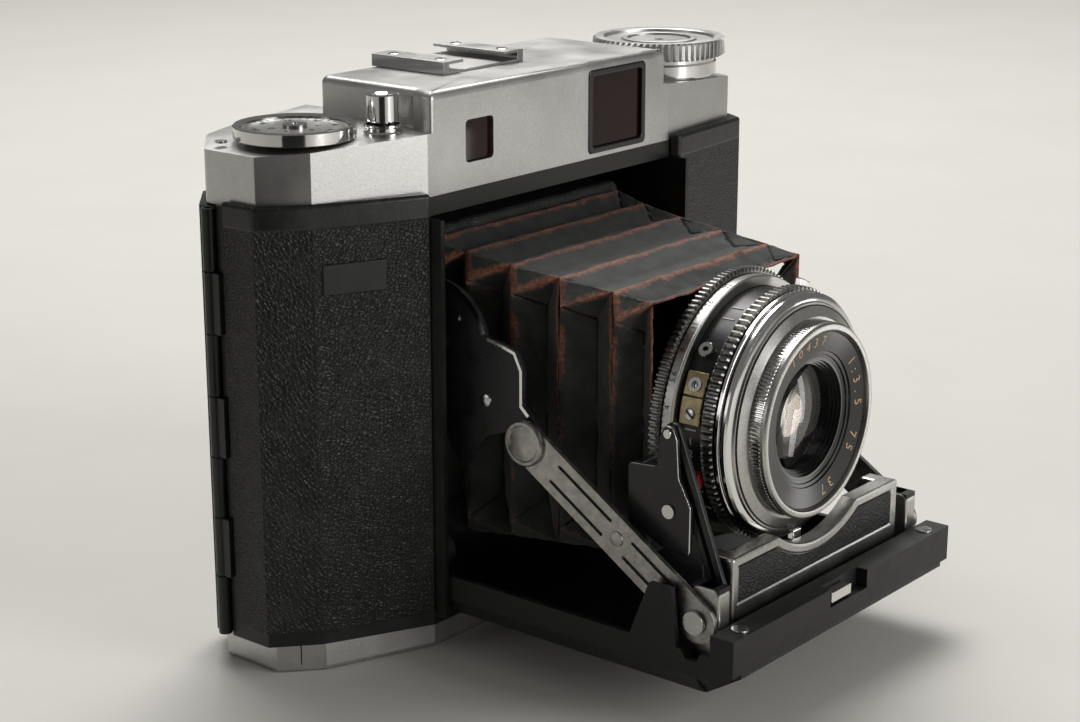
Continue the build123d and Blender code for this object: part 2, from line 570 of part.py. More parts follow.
with BuildPart() as hinge_pins:
    upright_rod(BACK_HINGE, 0.6, BACK_Z[0] + 0.4, BACK_Z[1] - 0.4)
    for x in both_sides(35.2, PILLAR_X):
        cross_rod((HINGE_Y, HINGE_Z), 1.5, x[0], x[1])
    for x, head in zip(both_sides(EAR_X[0], LINK_X[1]), both_sides(LINK_X[1], LINK_X[1] + 0.5)):
        cross_rod(LINK_PIVOT, LINK_PIN_R, x[0], x[1])
        cross_rod(LINK_PIVOT, 2.2, head[0], head[1])

STRUT_W = 8.0
with BuildPart() as lower_struts:
    for x in both_sides(*STRUT_X):
        bar_between(STRUT_PIVOT, KNUCKLE, STRUT_W, x[0], x[1])
        cross_rod(STRUT_PIVOT, 1.0 + CLEAR, x[0], x[1], mode=Mode.SUBTRACT)
    along = [(KNUCKLE[i] - STRUT_PIVOT[i]) / math.dist(STRUT_PIVOT, KNUCKLE) for i in (0, 1)]
    for x in ((STRUT_X[1] - 0.35, STRUT_X[1]), (-STRUT_X[1], -STRUT_X[1] + 0.35)):
        for start, end in ((6.0, 18.0), (24.0, 38.0)):
            for offset in (-1.9, 1.9):
                ends = [(STRUT_PIVOT[0] + along[0] * s - along[1] * offset,
                         STRUT_PIVOT[1] + along[1] * s + along[0] * offset) for s in (start, end)]
                bar_between(ends[0], ends[1], 0.7, x[0], x[1], mode=Mode.SUBTRACT)

MIDDLE = (STRUT_PIVOT[0] + along[0] * 21.0, STRUT_PIVOT[1] + along[1] * 21.0)
with BuildPart() as strut_buttons:
    for x in both_sides(STRUT_X[1], 36.2):
        cross_rod(KNUCKLE, 4.4, x[0], x[1])
    for x in both_sides(STRUT_X[1], 35.5):
        cross_rod(MIDDLE, 1.5, x[0], x[1])

with BuildPart() as door_pins:
    for x, head in zip(both_sides(30.5, 36.0), both_sides(35.3, 36.0)):
        cross_rod(STRUT_PIVOT, 1.0, x[0], x[1])
        cross_rod(STRUT_PIVOT, 2.2, head[0], head[1])
    cross_rod(ARM_PIVOT, ARM_PIN_R, -33.8, -28.6)
    for x in (-32.0, 32.0):
        upright_rod((x, -87.4), 1.6, HINGE_Z - 1.6, HINGE_Z + 0.3)

with BuildPart() as standard_arm:
    bar_between(ARM_PIVOT, STANDARD_PIVOT, 3.4, ARM_X[0], ARM_X[1])
    cross_rod(ARM_PIVOT, ARM_PIN_R + CLEAR, ARM_X[0], ARM_X[1], mode=Mode.SUBTRACT)
    cross_rod(STANDARD_PIVOT, ARM_PIN_R + CLEAR, ARM_X[0], ARM_X[1], mode=Mode.SUBTRACT)

# ---- lens standard and shutter ------------------------------------------------------
BOARD_FRONT = BOARD_Y - 2.0
BORE_R = 13.4
with BuildPart() as lens_standard:
    lens_disc(26.0, BOARD_Y, BOARD_FRONT)
    block((FLANGE_X[0], 0), (BOARD_FRONT, BOARD_Y), (34.0, 46.0))
    side_slab([(BOARD_FRONT, 34.0), (-71.0, 31.0), (-75.8, 31.0), (-75.8, 40.0), (-73.1, 45.0), (-72.6, 52.0),
               (-71.6, 54.4), (-69.8, 54.4), (-68.8, 52.0), (-68.4, 46.0), (BOARD_FRONT, 46.0)],
              FLANGE_X[0], FLANGE_X[1])
    cross_rod(STANDARD_PIVOT, ARM_PIN_R, FLANGE_X[0], FLANGE_X[1], mode=Mode.SUBTRACT)
    lens_disc(BORE_R, BOARD_Y + 1, BOARD_FRONT - 1, mode=Mode.SUBTRACT)

with BuildPart() as standard_rivets:
    cross_rod(STANDARD_PIVOT, ARM_PIN_R, FLANGE_X[0] - 0.4, -28.6)
    cross_rod((-71.2, 38.6), 1.3, FLANGE_X[0] - 0.4, FLANGE_X[0])

HOUSING_R = 22.8
with BuildPart() as shutter_housing:
    lens_disc(HOUSING_R, BOARD_FRONT, -72.0)
    lens_disc(BORE_R, BOARD_FRONT + 1, -73.0, mode=Mode.SUBTRACT)
    lens_disc(18.6, -67.6, -71.4, mode=Mode.SUBTRACT)

aperture_ring = lens_ring(24.8, HOUSING_R + CLEAR, BOARD_FRONT - 0.2, -66.6)
speed_ring = lens_ring(24.0, 14.8, -72.1, -74.6)
face_ring = lens_ring(23.4, 14.5, -74.8, -77.6)
bezel = lens_ring(18.5, 16.9, -79.0, -82.5)
name_ring = lens_ring(16.9, 11.6, -79.0, -81.6)

with BuildPart() as lens_tube:
    lens_disc(14.5, -74.8, -77.6)
    lens_disc(21.7, -77.6, -79.0)
    lens_disc(BORE_R, -72.0, -74.8)
    lens_disc(11.4, -71.9, -79.1, mode=Mode.SUBTRACT)

with BuildPart() as front_element:
    lens_disc(11.4, -74.8, -78.6)

with BuildPart() as rear_cell:
    lens_disc(BORE_R, -66.9, -59.0)
    lens_disc(11.0, -68, -58, mode=Mode.SUBTRACT)
with BuildPart() as rear_element:
    lens_disc(11.0, -59.6, -63.0)

BLADE_R = 15.4
IRIS_BLADES = 5


def sector(start, end, reach=40.0):
    """Keep only the part of the sketch between two angles round the lens axis."""
    rays = [(0.0, LENS_Z)]
    for angle in (start, (start + end) / 2, end):
        rays.append((reach * math.cos(math.radians(angle)), LENS_Z + reach * math.sin(math.radians(angle))))
    with BuildLine(Plane.XY) as wedge:
        Polyline(rays, close=True)
    make_face(wedge.line.edges(), mode=Mode.INTERSECT)


def ring_piece(outer, inner, start, end, back, front):
    """A stretch of a ring round the lens axis, between two angles."""
    with BuildPart() as piece:
        with BuildSketch(Plane.XZ.offset(-back)):
            with Locations((0, LENS_Z)):
                Circle(outer)
                Circle(inner, mode=Mode.SUBTRACT)
            sector(start, end)
        extrude(amount=back - front)
    return piece


# Three shutter leaves, shut, and five iris blades, open, each in its own thin layer.
with BuildPart() as leaves:
    for index in range(3):
        with BuildSketch(Plane.XZ.offset(67.8 + 0.3 * index)):
            with Locations((0, LENS_Z)):
                Circle(13.0)
            sector(120.0 * index - 2, 120.0 * index + 124)
        extrude(amount=0.15)
    for index in range(IRIS_BLADES):
        turn = 360.0 * index / IRIS_BLADES
        with BuildSketch(Plane.XZ.offset(69.0 + 0.3 * index)):
            with Locations((0, LENS_Z)):
                Circle(BLADE_R + 1.8)
                Circle(BLADE_R - 1.8, mode=Mode.SUBTRACT)
            sector(turn - 6, turn + 94)
        extrude(amount=0.15)

cocking_lever = ring_piece(25.4, HOUSING_R + CLEAR, 62, 70, -70.6, -71.8)
iris_pointer = ring_piece(24.4, HOUSING_R + CLEAR, 196, 203, -67.0, -71.6)
timer_lever = ring_piece(23.6, 21.7 + CLEAR, 264, 271, -77.7, -78.9)

SYNC_ANGLE = 140.0
SYNC_R = HOUSING_R + 0.4
SYNC_DIR = (math.cos(math.radians(SYNC_ANGLE)), math.sin(math.radians(SYNC_ANGLE)))
SYNC_PLANE = Plane(origin=(SYNC_R * SYNC_DIR[0], -69.4, LENS_Z + SYNC_R * SYNC_DIR[1]), x_dir=(0, 1, 0),
                   z_dir=(SYNC_DIR[0], 0, SYNC_DIR[1]))
with BuildPart() as sync_switch:
    with BuildSketch(SYNC_PLANE):
        Circle(1.5)
    extrude(amount=1.3)

# ---- bellows ------------------------------------------------------------------------
PLEATS = 6
BELLOWS_BACK, BELLOWS_FRONT = 3.3, BOARD_Y + 0.3
REAR_HALF, FRONT_HALF = 30.0, 26.0
FOLD = 3.6
CLOTH = 0.8
with BuildPart() as bellows:
    span = BELLOWS_BACK - BELLOWS_FRONT
    for cloth, mode in ((0.0, Mode.ADD), (CLOTH, Mode.SUBTRACT)):
        for step in range(2 * PLEATS):
            for index in (step, step + 1):
                share = index / (2 * PLEATS)
                half = REAR_HALF + (FRONT_HALF - REAR_HALF) * share - (0 if index % 2 == 0 else FOLD) - cloth
                with BuildSketch(Plane.XZ.offset(-(BELLOWS_BACK - span * share))):
                    with Locations((0, LENS_Z)):
                        Rectangle(2 * half, 2 * half)
            loft(mode=mode)

PIECES = {
    "body_shell": body_shell, "leather_left": leather_left, "leather_right": leather_right,
    "bellows_frame": bellows_frame, "bellows": bellows, "bottom_plate": bottom_plate,
    "tripod_socket": tripod_socket, "top_cover": top_cover, "body_screws": body_screws,
    "accessory_shoe": accessory_shoe, "finder_frame": finder_frame, "window_glass": window_glass,
    "half_mirror": half_mirror, "eyepiece": eyepiece, "button_collar": button_collar,
    "spool_pins": spool_pins, "back_hinge": back_hinge, "hinge_pins": hinge_pins,
    "reminder_dial": reminder_dial, "shutter_button": shutter_button, "advance_knob": advance_knob,
    "knob_gear": knob_gear, "takeup_key": takeup_key, "takeup_spool": takeup_spool,
    "focus_wheel": focus_wheel, "film_gate": film_gate, "roller_left": roller_left,
    "roller_right": roller_right, "back_door": back_door, "back_leather": back_leather,
    "pressure_plate": pressure_plate, "pressure_springs": pressure_springs, "back_latch": back_latch,
    "door_tray": door_tray, "door_leather": door_leather, "latch_tongue": latch_tongue,
    "bracket_frame": bracket_frame, "bracket_leather": bracket_leather, "door_pins": door_pins,
    "upper_links": upper_links, "lower_struts": lower_struts, "strut_buttons": strut_buttons,
    "standard_arm": standard_arm, "lens_standard": lens_standard, "standard_rivets": standard_rivets,
    "shutter_housing": shutter_housing, "aperture_ring": aperture_ring, "speed_ring": speed_ring,
    "face_ring": face_ring, "lens_tube": lens_tube, "bezel": bezel, "name_ring": name_ring,
    "front_element": front_element, "rear_cell": rear_cell, "rear_element": rear_element,
    "leaves": leaves, "cocking_lever": cocking_lever, "iris_pointer": iris_pointer,
    "timer_lever": timer_lever, "sync_switch": sync_switch,
}
os.makedirs("parts", exist_ok=True)
for label, piece in PIECES.items():
    piece.part.label = label
    export_step(piece.part, f"parts/{label}.step")
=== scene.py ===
import math
import random

import bmesh
import bpy
from mathutils import Matrix, Vector, noise


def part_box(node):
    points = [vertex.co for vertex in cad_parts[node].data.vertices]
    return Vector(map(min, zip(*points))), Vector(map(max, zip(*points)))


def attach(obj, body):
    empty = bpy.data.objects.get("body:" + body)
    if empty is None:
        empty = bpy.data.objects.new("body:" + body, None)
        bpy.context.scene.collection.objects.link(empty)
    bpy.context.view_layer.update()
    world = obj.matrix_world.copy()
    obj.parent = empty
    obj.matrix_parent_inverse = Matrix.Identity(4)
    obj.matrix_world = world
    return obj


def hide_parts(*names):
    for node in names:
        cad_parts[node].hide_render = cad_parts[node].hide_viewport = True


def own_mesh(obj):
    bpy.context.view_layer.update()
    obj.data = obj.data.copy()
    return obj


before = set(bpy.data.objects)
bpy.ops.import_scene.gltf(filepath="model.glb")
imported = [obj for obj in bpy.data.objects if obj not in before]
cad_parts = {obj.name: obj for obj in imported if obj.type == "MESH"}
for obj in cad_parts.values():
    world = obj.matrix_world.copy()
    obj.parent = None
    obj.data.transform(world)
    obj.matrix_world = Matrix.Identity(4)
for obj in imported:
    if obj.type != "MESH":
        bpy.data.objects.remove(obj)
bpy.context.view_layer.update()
MM = 0.001
random.seed(7)


# ---- helpers: places ----
def box_mm(node):
    """The lowest and highest corner of a CAD node, in millimetres."""
    low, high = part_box(node)
    return low / MM, high / MM


def place(plane, u, v, w):
    """A point given in a plane's two directions and its normal, in metres."""
    point = {"XY": (u, v, w), "YZ": (w, u, v), "XZ": (u, w, v)}[plane]
    return Vector(point) * MM


def arc(centre, radius, start, end, steps=12):
    """Points along an arc, with angles in degrees."""
    turns = [math.radians(start + (end - start) * i / steps) for i in range(steps + 1)]
    return [(centre[0] + radius * math.cos(t), centre[1] + radius * math.sin(t)) for t in turns]


def rounded(points, radius, steps=5):
    """A closed outline with its corners rounded; radius is one number or one per corner."""
    out = []
    count = len(points)
    radii = radius if isinstance(radius, (list, tuple)) else [radius] * count
    for i, corner in enumerate(points):
        p = Vector(corner)
        before, after = Vector(points[i - 1]) - p, Vector(points[(i + 1) % count]) - p
        half = before.angle(after) / 2
        reach = min(radii[i] / math.tan(half), 0.49 * before.length, 0.49 * after.length)
        if radii[i] <= 0:
            out.append(tuple(corner))
            continue
        a, b = p + before.normalized() * reach, p + after.normalized() * reach
        for s in range(steps + 1):
            t = s / steps
            q = a * (1 - t) ** 2 + p * 2 * t * (1 - t) + b * t ** 2
            out.append((q.x, q.y))
    return out


def rectangle(low, high):
    return [(low[0], low[1]), (high[0], low[1]), (high[0], high[1]), (low[0], high[1])]


def circle(centre, radius, steps=48):
    return arc(centre, radius, 0, 360 * (steps - 1) / steps, steps - 1)


# ---- helpers: meshes ----
def prism(outline, low, high, plane="XY", holes=()):
    """A closed mesh: an outline with holes, extruded along the plane's normal."""
    bm = bmesh.new()
    edges = []
    for loop in (outline, *holes):
        verts = [bm.verts.new(place(plane, u, v, low)) for u, v in loop]
        edges += [bm.edges.new(pair) for pair in zip(verts, verts[1:] + verts[:1])]
    if holes:
        bmesh.ops.triangle_fill(bm, use_beauty=True, edges=edges)
    else:
        bm.faces.new(verts)
    grown = bmesh.ops.extrude_face_region(bm, geom=bm.faces[:])
    moved = [v for v in grown["geom"] if isinstance(v, bmesh.types.BMVert)]
    bmesh.ops.translate(bm, verts=moved, vec=place(plane, 0, 0, high - low))
    bmesh.ops.recalc_face_normals(bm, faces=bm.faces[:])
    return bm


def skin(bm, loops, closed=False):
    """Quads between loops of equal length; the last meets the first if closed, or both ends are capped."""
    count = len(loops[0])
    for low, high in zip(loops, loops[1:] + loops[:closed]):
        for i in range(count):
            j = (i + 1) % count
            bm.faces.new((low[i], low[j], high[j], high[i]))
    if not closed:
        bm.faces.new(loops[0])
        bm.faces.new(loops[-1])
    bmesh.ops.recalc_face_normals(bm, faces=bm.faces[:])
    return bm


def turned(profile, centre, axis="Y", segments=128, teeth=0, depth=0.0, toothed=(), closed=True):
    """A closed mesh: a profile of (radius, height) turned round an axis through centre.
    The profile points listed in toothed sink by depth between the teeth."""
    bm = bmesh.new()
    plane = {"X": "YZ", "Y": "XZ", "Z": "XY"}[axis]
    steps = teeth * 4 if teeth else segments
    loops = []
    for index, (radius, height) in enumerate(profile):
        loop = []
        for s in range(steps):
            turn = 2 * math.pi * s / steps
            r = radius - (depth if index in toothed and s % 4 in (2, 3) else 0.0)
            u, v = centre[0] + r * math.cos(turn), centre[1] + r * math.sin(turn)
            loop.append(bm.verts.new(place(plane, u, v, height)))
        loops.append(loop)
    return skin(bm, loops, closed)


def joined(*meshes):
    """Several bmeshes as one."""
    whole = meshes[0]
    for other in meshes[1:]:
        temp = bpy.data.meshes.new("temp")
        other.to_mesh(temp)
        whole.from_mesh(temp)
        bpy.data.meshes.remove(temp)
        other.free()
    return whole


def object_of(name, bm, *materials):
    """An object made of a bmesh, which is used up."""
    mesh = bpy.data.meshes.new(name)
    bm.to_mesh(mesh)
    bm.free()
    for material in materials:
        mesh.materials.append(material)
    obj = bpy.data.objects.new(name, mesh)
    bpy.context.scene.collection.objects.link(obj)
    return obj


def piece(name, bm, materials, body, nodes=(), bevel=0.0, segments=3, rim=0, smooth=35):
    """Makes the object, rounds its edges, sets what it rides on and hides the CAD nodes it stands for."""
    obj = object_of(name, bm, *(materials if isinstance(materials, list) else [materials]))
    soften(obj, bevel, segments, rim, smooth)
    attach(obj, body)
    if nodes:
        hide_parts(*nodes)
    return obj


def soften(obj, bevel, segments=3, rim=0, smooth=35, limit=32):
    """Smooth shading up to smooth degrees, and rounded edges."""
    for p in obj.data.polygons:
        p.use_smooth = True
    obj.data.set_sharp_from_angle(angle=math.radians(smooth))
    if bevel:
        round_edges(obj, bevel, segments, limit, rim)


def round_edges(obj, width, segments, limit, rim=0):
    """Rounds the edges over limit degrees; rim is the material slot of the rounded faces."""
    edges = obj.modifiers.new("edges", "BEVEL")
    edges.width = width * MM
    edges.segments = segments
    edges.limit_method = "ANGLE"
    edges.angle_limit = math.radians(limit)
    if rim:
        edges.material = rim
    normals = obj.modifiers.new("normals", "WEIGHTED_NORMAL")
    normals.keep_sharp = True


def final_mesh(obj):
    """The object's mesh with its modifiers applied."""
    bpy.context.view_layer.update()
    return bpy.data.meshes.new_from_object(obj.evaluated_get(bpy.context.evaluated_depsgraph_get()))


def boolean(obj, other, operation):
    """Applies a boolean with a bmesh, which is used up."""
    cutter = object_of("cutter", other)
    mod = obj.modifiers.new("cut", "BOOLEAN")
    mod.operation = operation
    mod.solver = "EXACT"
    mod.object = cutter
    shape = final_mesh(obj)
    obj.modifiers.remove(mod)
    obj.data = shape
    bpy.data.objects.remove(cutter)


# ---- helpers: materials ----
class Shade:
    """A material under construction: constants go on the shader, textures through nodes."""

    def __init__(self, name, colour, roughness, metallic=0.0, **constants):
        self.material = bpy.data.materials.new(name)
        self.material.use_nodes = True
        self.tree = self.material.node_tree
        self.shader = self.tree.nodes["Principled BSDF"]
        self.set("Base Color", (*colour, 1.0))
        self.set("Roughness", roughness)
        self.set("Metallic", metallic)
        for key, value in constants.items():
            self.set(key.replace("_", " ").title().replace("Ior", "IOR"), value)
        self.where = self.node("ShaderNodeTexCoord").outputs["Object"]

    def set(self, socket, value):
        self.shader.inputs[socket].default_value = value

    def feed(self, socket, value):
        """Links a texture to a socket, or sets the socket's constant."""
        if isinstance(value, bpy.types.NodeSocket):
            self.tree.links.new(value, socket)
        else:
            socket.default_value = value

    def node(self, kind, **inputs):
        made = self.tree.nodes.new(kind)
        for key, value in inputs.items():
            self.feed(made.inputs[key], value)
        return made

    def stretched(self, *scale):
        return self.node("ShaderNodeMapping", Vector=self.where, Scale=scale).outputs["Vector"]

    def noise(self, size, detail=3.0, rough=0.55, where=None):
        """Noise between 0 and 1 whose features are size mm across."""
        made = self.node("ShaderNodeTexNoise", Vector=where or self.where, Scale=1.0 / (size * MM),
                         Detail=detail, Roughness=rough)
        return made.outputs["Fac"]

    def cells(self, size):
        """Cells size mm across, as the distance to the nearest edge."""
        made = self.node("ShaderNodeTexVoronoi", Vector=self.where, Scale=1.0 / (size * MM))
        made.feature = "DISTANCE_TO_EDGE"
        return made.outputs["Distance"]

    def ramp(self, value, *stops):
        """Maps a value through (position, grey) stops."""
        made = self.node("ShaderNodeValToRGB", Fac=value)
        elements = made.color_ramp.elements
        while len(elements) < len(stops):
            elements.new(0.5)
        for element, (position, grey) in zip(elements, stops):
            element.position = position
            element.color = (grey, grey, grey, 1.0)
        return made.outputs["Color"]

    def maths(self, operation, a, b):
        made = self.tree.nodes.new("ShaderNodeMath")
        made.operation = operation
        self.feed(made.inputs[0], a)
        self.feed(made.inputs[1], b)
        return made.outputs[0]

    def mix(self, factor, a, b):
        made = self.tree.nodes.new("ShaderNodeMix")
        made.data_type = "RGBA"
        sockets = [s for s in made.inputs if s.type == "RGBA"]
        for socket, value in zip(sockets, (a, b)):
            self.feed(socket, (*value, 1.0) if isinstance(value, tuple) else value)
        self.feed(made.inputs["Factor"], factor)
        return next(s for s in made.outputs if s.type == "RGBA")

    def attribute(self, name):
        made = self.node("ShaderNodeAttribute")
        made.attribute_name = name
        return made.outputs["Fac"]

    def drive(self, socket, value):
        self.feed(self.shader.inputs[socket], value)

    def bump(self, height, depth):
        """Bump whose full height is depth mm."""
        made = self.node("ShaderNodeBump", Height=height, Distance=depth * MM, Strength=1.0)
        self.drive("Normal", made.outputs["Normal"])


def scaled(colour, share, lift=0.0):
    return tuple(min(1.0, c * share + lift) for c in colour)


def satin_metal(name, colour, roughness, grain=0.28, depth=0.012, patchy=0.08):
    """Blasted and plated metal: a fine even grain, faint patches and a few dark specks."""
    s = Shade(name, colour, roughness, 1.0)
    fine, patches = s.noise(grain, 2.0), s.noise(14.0, 4.0)
    low = scaled(colour, 1 - 2 * patchy)
    high = scaled(colour, 1 + patchy)
    tone = s.mix(s.ramp(s.maths("MULTIPLY", fine, patches), (0.12, 0.0), (0.40, 1.0)), low, high)
    specks = s.ramp(s.noise(1.1, 5.0, 0.7), (0.27, 1.0), (0.31, 0.0))
    s.drive("Base Color", s.mix(specks, tone, scaled(colour, 0.45)))
    s.drive("Roughness", s.ramp(patches, (0.3, roughness * 0.85), (0.7, roughness * 1.2)))
    s.bump(fine, depth)
    return s.material


def polished_metal(name, colour, roughness):
    """Bright plating with faint smears and a few pits."""
    s = Shade(name, colour, roughness, 1.0)
    smear = s.noise(4.0, 5.0, 0.65)
    pits = s.ramp(s.noise(0.9, 4.0, 0.7), (0.28, 1.0), (0.32, 0.0))
    s.drive("Roughness", s.ramp(smear, (0.35, roughness * 0.6), (0.75, roughness * 1.9)))
    s.drive("Base Color", s.mix(pits, colour, scaled(colour, 0.4)))
    s.bump(smear, 0.01)
    return s.material


def worn_metal(name, colour, roughness, streak):
    """Old nickel: long polish marks and stains."""
    s = Shade(name, colour, roughness, 1.0)
    marks = s.noise(0.5, 4.0, 0.6, s.stretched(*streak))
    stain = s.ramp(s.noise(2.2, 6.0, 0.72), (0.40, 0.0), (0.62, 1.0))
    tone = s.mix(s.ramp(marks, (0.3, 0.0), (0.7, 1.0)), scaled(colour, 0.7), colour)
    s.drive("Base Color", s.mix(stain, scaled(colour, 0.6), tone))
    s.drive("Roughness", s.ramp(marks, (0.3, roughness * 0.75), (0.7, roughness * 1.35)))
    s.bump(marks, 0.02)
    return s.material


def black_paint(name, colour, roughness, depth=0.015):
    """Baked black enamel: slight orange peel, dust and rubbed patches."""
    s = Shade(name, colour, roughness, 0.0, specular_ior_level=0.36)
    peel, dust = s.noise(0.7, 2.0), s.noise(5.0, 6.0, 0.7)
    s.drive("Base Color", s.mix(s.ramp(dust, (0.45, 0.0), (0.8, 1.0)), colour, scaled(colour, 1.7, 0.004)))
    s.drive("Roughness", s.ramp(dust, (0.3, roughness * 0.8), (0.75, roughness * 1.3)))
    s.bump(peel, depth)
    return s.material


def leather(name, colour, pebble=0.85, depth=0.16):
    """Glossy pebbled leather."""
    s = Shade(name, colour, 0.36, 0.0, specular_ior_level=0.38, coat_weight=0.06)
    grain = s.ramp(s.cells(pebble), (0.0, 0.0), (0.22, 1.0))
    fine, worn = s.noise(0.35, 3.0), s.noise(9.0, 5.0, 0.65)
    height = s.maths("ADD", grain, s.maths("MULTIPLY", fine, 0.35))
    s.drive("Base Color", s.mix(s.ramp(worn, (0.5, 0.0), (0.85, 1.0)), colour, scaled(colour, 1.8, 0.01)))
    s.drive("Roughness", s.ramp(worn, (0.3, 0.36), (0.75, 0.52)))
    s.bump(height, depth)
    return s.material


def bellows_cloth(name):
    """Dark grey-green cloth, rubbed through to orange-brown where the wear attribute is high."""
    s = Shade(name, (0.03, 0.032, 0.029), 0.72, 0.0, sheen_weight=0.12, sheen_roughness=0.5)
    weave, blotch = s.noise(0.3, 2.0), s.noise(3.5, 5.0, 0.65)
    cloth = s.mix(s.ramp(blotch, (0.35, 0.0), (0.7, 1.0)), (0.010, 0.011, 0.010), (0.028, 0.029, 0.026))
    rub = s.maths("ADD", s.attribute("fold_wear_fading_down"), s.maths("MULTIPLY", s.noise(1.3, 6.0, 0.75), 1.3))
    rub = s.maths("ADD", rub, s.maths("MULTIPLY", s.noise(7.0, 3.0, 0.6), 0.7))
    patchy = s.ramp(s.noise(0.7, 4.0), (0.35, 0.0), (0.65, 1.0))
    bare = s.mix(patchy, (0.07, 0.026, 0.013), (0.28, 0.090, 0.040))
    s.drive("Base Color", s.mix(s.ramp(s.maths("MULTIPLY", rub, 0.5), (0.66, 0.0), (0.84, 1.0)), cloth, bare))
    s.bump(s.maths("ADD", weave, s.maths("MULTIPLY", rub, 0.4)), 0.10)
    return s.material


def glass(name, colour, roughness=0.02, transmission=1.0, ior=1.5):
    s = Shade(name, colour, roughness, 0.0, transmission_weight=transmission, ior=ior)
    s.drive("Roughness", s.ramp(s.noise(3.0, 3.0), (0.3, roughness), (0.8, roughness + 0.03)))
    return s.material


def tinted(name, colour, roughness, metallic=0.0, grain=0.4, spread=0.25, **constants):
    """A plain finish with a little variation of colour and gloss."""
    s = Shade(name, colour, roughness, metallic, **constants)
    n = s.noise(grain, 4.0, 0.6)
    s.drive("Base Color", s.mix(n, scaled(colour, 1 - spread), scaled(colour, 1 + spread)))
    s.drive("Roughness", s.ramp(n, (0.3, roughness * 0.85), (0.7, roughness * 1.2)))
    return s.material


SATIN = satin_metal("satin_chrome", (0.56, 0.555, 0.54), 0.37, 0.32, 0.018)
RING_SATIN = satin_metal("ring_satin", (0.50, 0.49, 0.465), 0.30, 0.35, 0.012, 0.12)
RING_WORN = satin_metal("ring_worn", (0.30, 0.295, 0.28), 0.34, 0.6, 0.02, 0.2)
CHROME = polished_metal("polished_chrome", (0.72, 0.715, 0.70), 0.11)
BRACKET = satin_metal("bracket_metal", (0.46, 0.455, 0.43), 0.30, 0.5, 0.02, 0.12)
NICKEL = worn_metal("worn_nickel", (0.50, 0.485, 0.45), 0.33, (1.0, 0.35, 0.35))
STEEL = polished_metal("steel", (0.55, 0.55, 0.53), 0.22)
BARE = polished_metal("bare_edges", (0.62, 0.62, 0.60), 0.20)
BRASS = worn_metal("brass", (0.52, 0.42, 0.24), 0.36, (1.0, 1.0, 1.0))
PAINT = black_paint("black_enamel", (0.009, 0.009, 0.009), 0.36)
MOULDING = black_paint("moulding_enamel", (0.014, 0.014, 0.014), 0.26, 0.03)
PAINT_METAL = black_paint("black_metal", (0.014, 0.014, 0.015), 0.30)
DOOR_PAINT = black_paint("door_enamel", (0.009, 0.009, 0.009), 0.5, 0.02)
DARK = tinted("flat_black", (0.006, 0.006, 0.006), 0.75)
LEATHER = leather("leather", (0.0075, 0.0075, 0.0072), 0.75, 0.10)
CLOTH = bellows_cloth("bellows_cloth")
COLLAR_CLOTH = leather("collar_leatherette", (0.022, 0.022, 0.021), 0.6, 0.12)
GLOSS_BLACK = tinted("gloss_black", (0.010, 0.010, 0.010), 0.18)
WINDOW = tinted("window_glass", (0.015, 0.0038, 0.0036), 0.05, 0.0, 6.0, 0.3, specular_ior_level=0.2)
LENS = glass("lens_glass", (0.97, 0.95, 0.92), 0.0, 1.0, 1.52)
COATING = tinted("coated_glass", (0.085, 0.045, 0.030), 0.03, 0.92, 6.0, 0.3)
WHITE = tinted("white_paint", (0.55, 0.54, 0.50), 0.5)
GOLD = tinted("gold_paint", (0.50, 0.33, 0.15), 0.5)
RED = tinted("red_paint", (0.30, 0.02, 0.02), 0.35)
MIRROR = tinted("mirror", (0.5, 0.5, 0.5), 0.05, 1.0, 2.0, 0.05)

# ---- CAD nodes that keep their own shape ----
# The width of each node's rounded edges, in mm, by material.
KEPT = (
    (PAINT, {"body_shell": 0.3, "back_door": 0.3, "bellows_frame": 0.2, "back_hinge": 0.2, "film_gate": 0.2}),
    (DOOR_PAINT, {"door_tray": 0.3}),
    (PAINT_METAL, {"shutter_housing": 0.2, "rear_cell": 0.15, "leaves": 0.0, "standard_arm": 0.15,
                   "pressure_plate": 0.2}),
    (LEATHER, {"leather_left": 0.2, "leather_right": 0.2, "back_leather": 0.2, "door_leather": 0.15,
               "bracket_leather": 0.1}),
    (STEEL, {"tripod_socket": 0.2, "body_screws": 0.15, "spool_pins": 0.2, "hinge_pins": 0.1,
             "door_pins": 0.2, "takeup_key": 0.15, "pressure_springs": 0.1, "standard_rivets": 0.1}),
    (CHROME, {"roller_left": 0.1, "roller_right": 0.1, "back_latch": 0.3, "latch_tongue": 0.2,
              "cocking_lever": 0.2, "timer_lever": 0.2}),
    (SATIN, {"bottom_plate": 0.3, "focus_wheel": 0.1}), (BRACKET, {"bracket_frame": 0.5}),
    (NICKEL, {"lower_struts": 0.2}), (BRASS, {"knob_gear": 0.1}), (RED, {"iris_pointer": 0.2}),
    (GLOSS_BLACK, {"eyepiece": 0.2, "takeup_spool": 0.15}), (LENS, {"rear_element": 0.0}),
    (MIRROR, {"half_mirror": 0.0}),
)


def dress(node, material, bevel):
    """Gives a CAD node its material, and rounds its edges with modifiers only."""
    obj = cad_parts[node]
    obj.data.materials.clear()
    obj.data.materials.append(material)
    if bevel:
        weld = obj.modifiers.new("weld", "WELD")
        weld.merge_threshold = 0.002 * MM
        round_edges(obj, bevel, 2, 38)


for material, widths in KEPT:
    for node, bevel in widths.items():
        dress(node, material, bevel)


# ---- bellows ----
LENS_Z = 49.9
# Each ridge of the cloth: its y, and half the side of its square.
RIDGES = [(-12.6, 29.4), (-20.5, 27.9), (-30.6, 26.7), (-41.5, 25.8), (-53.1, 24.8), (-61.5, 23.9)]
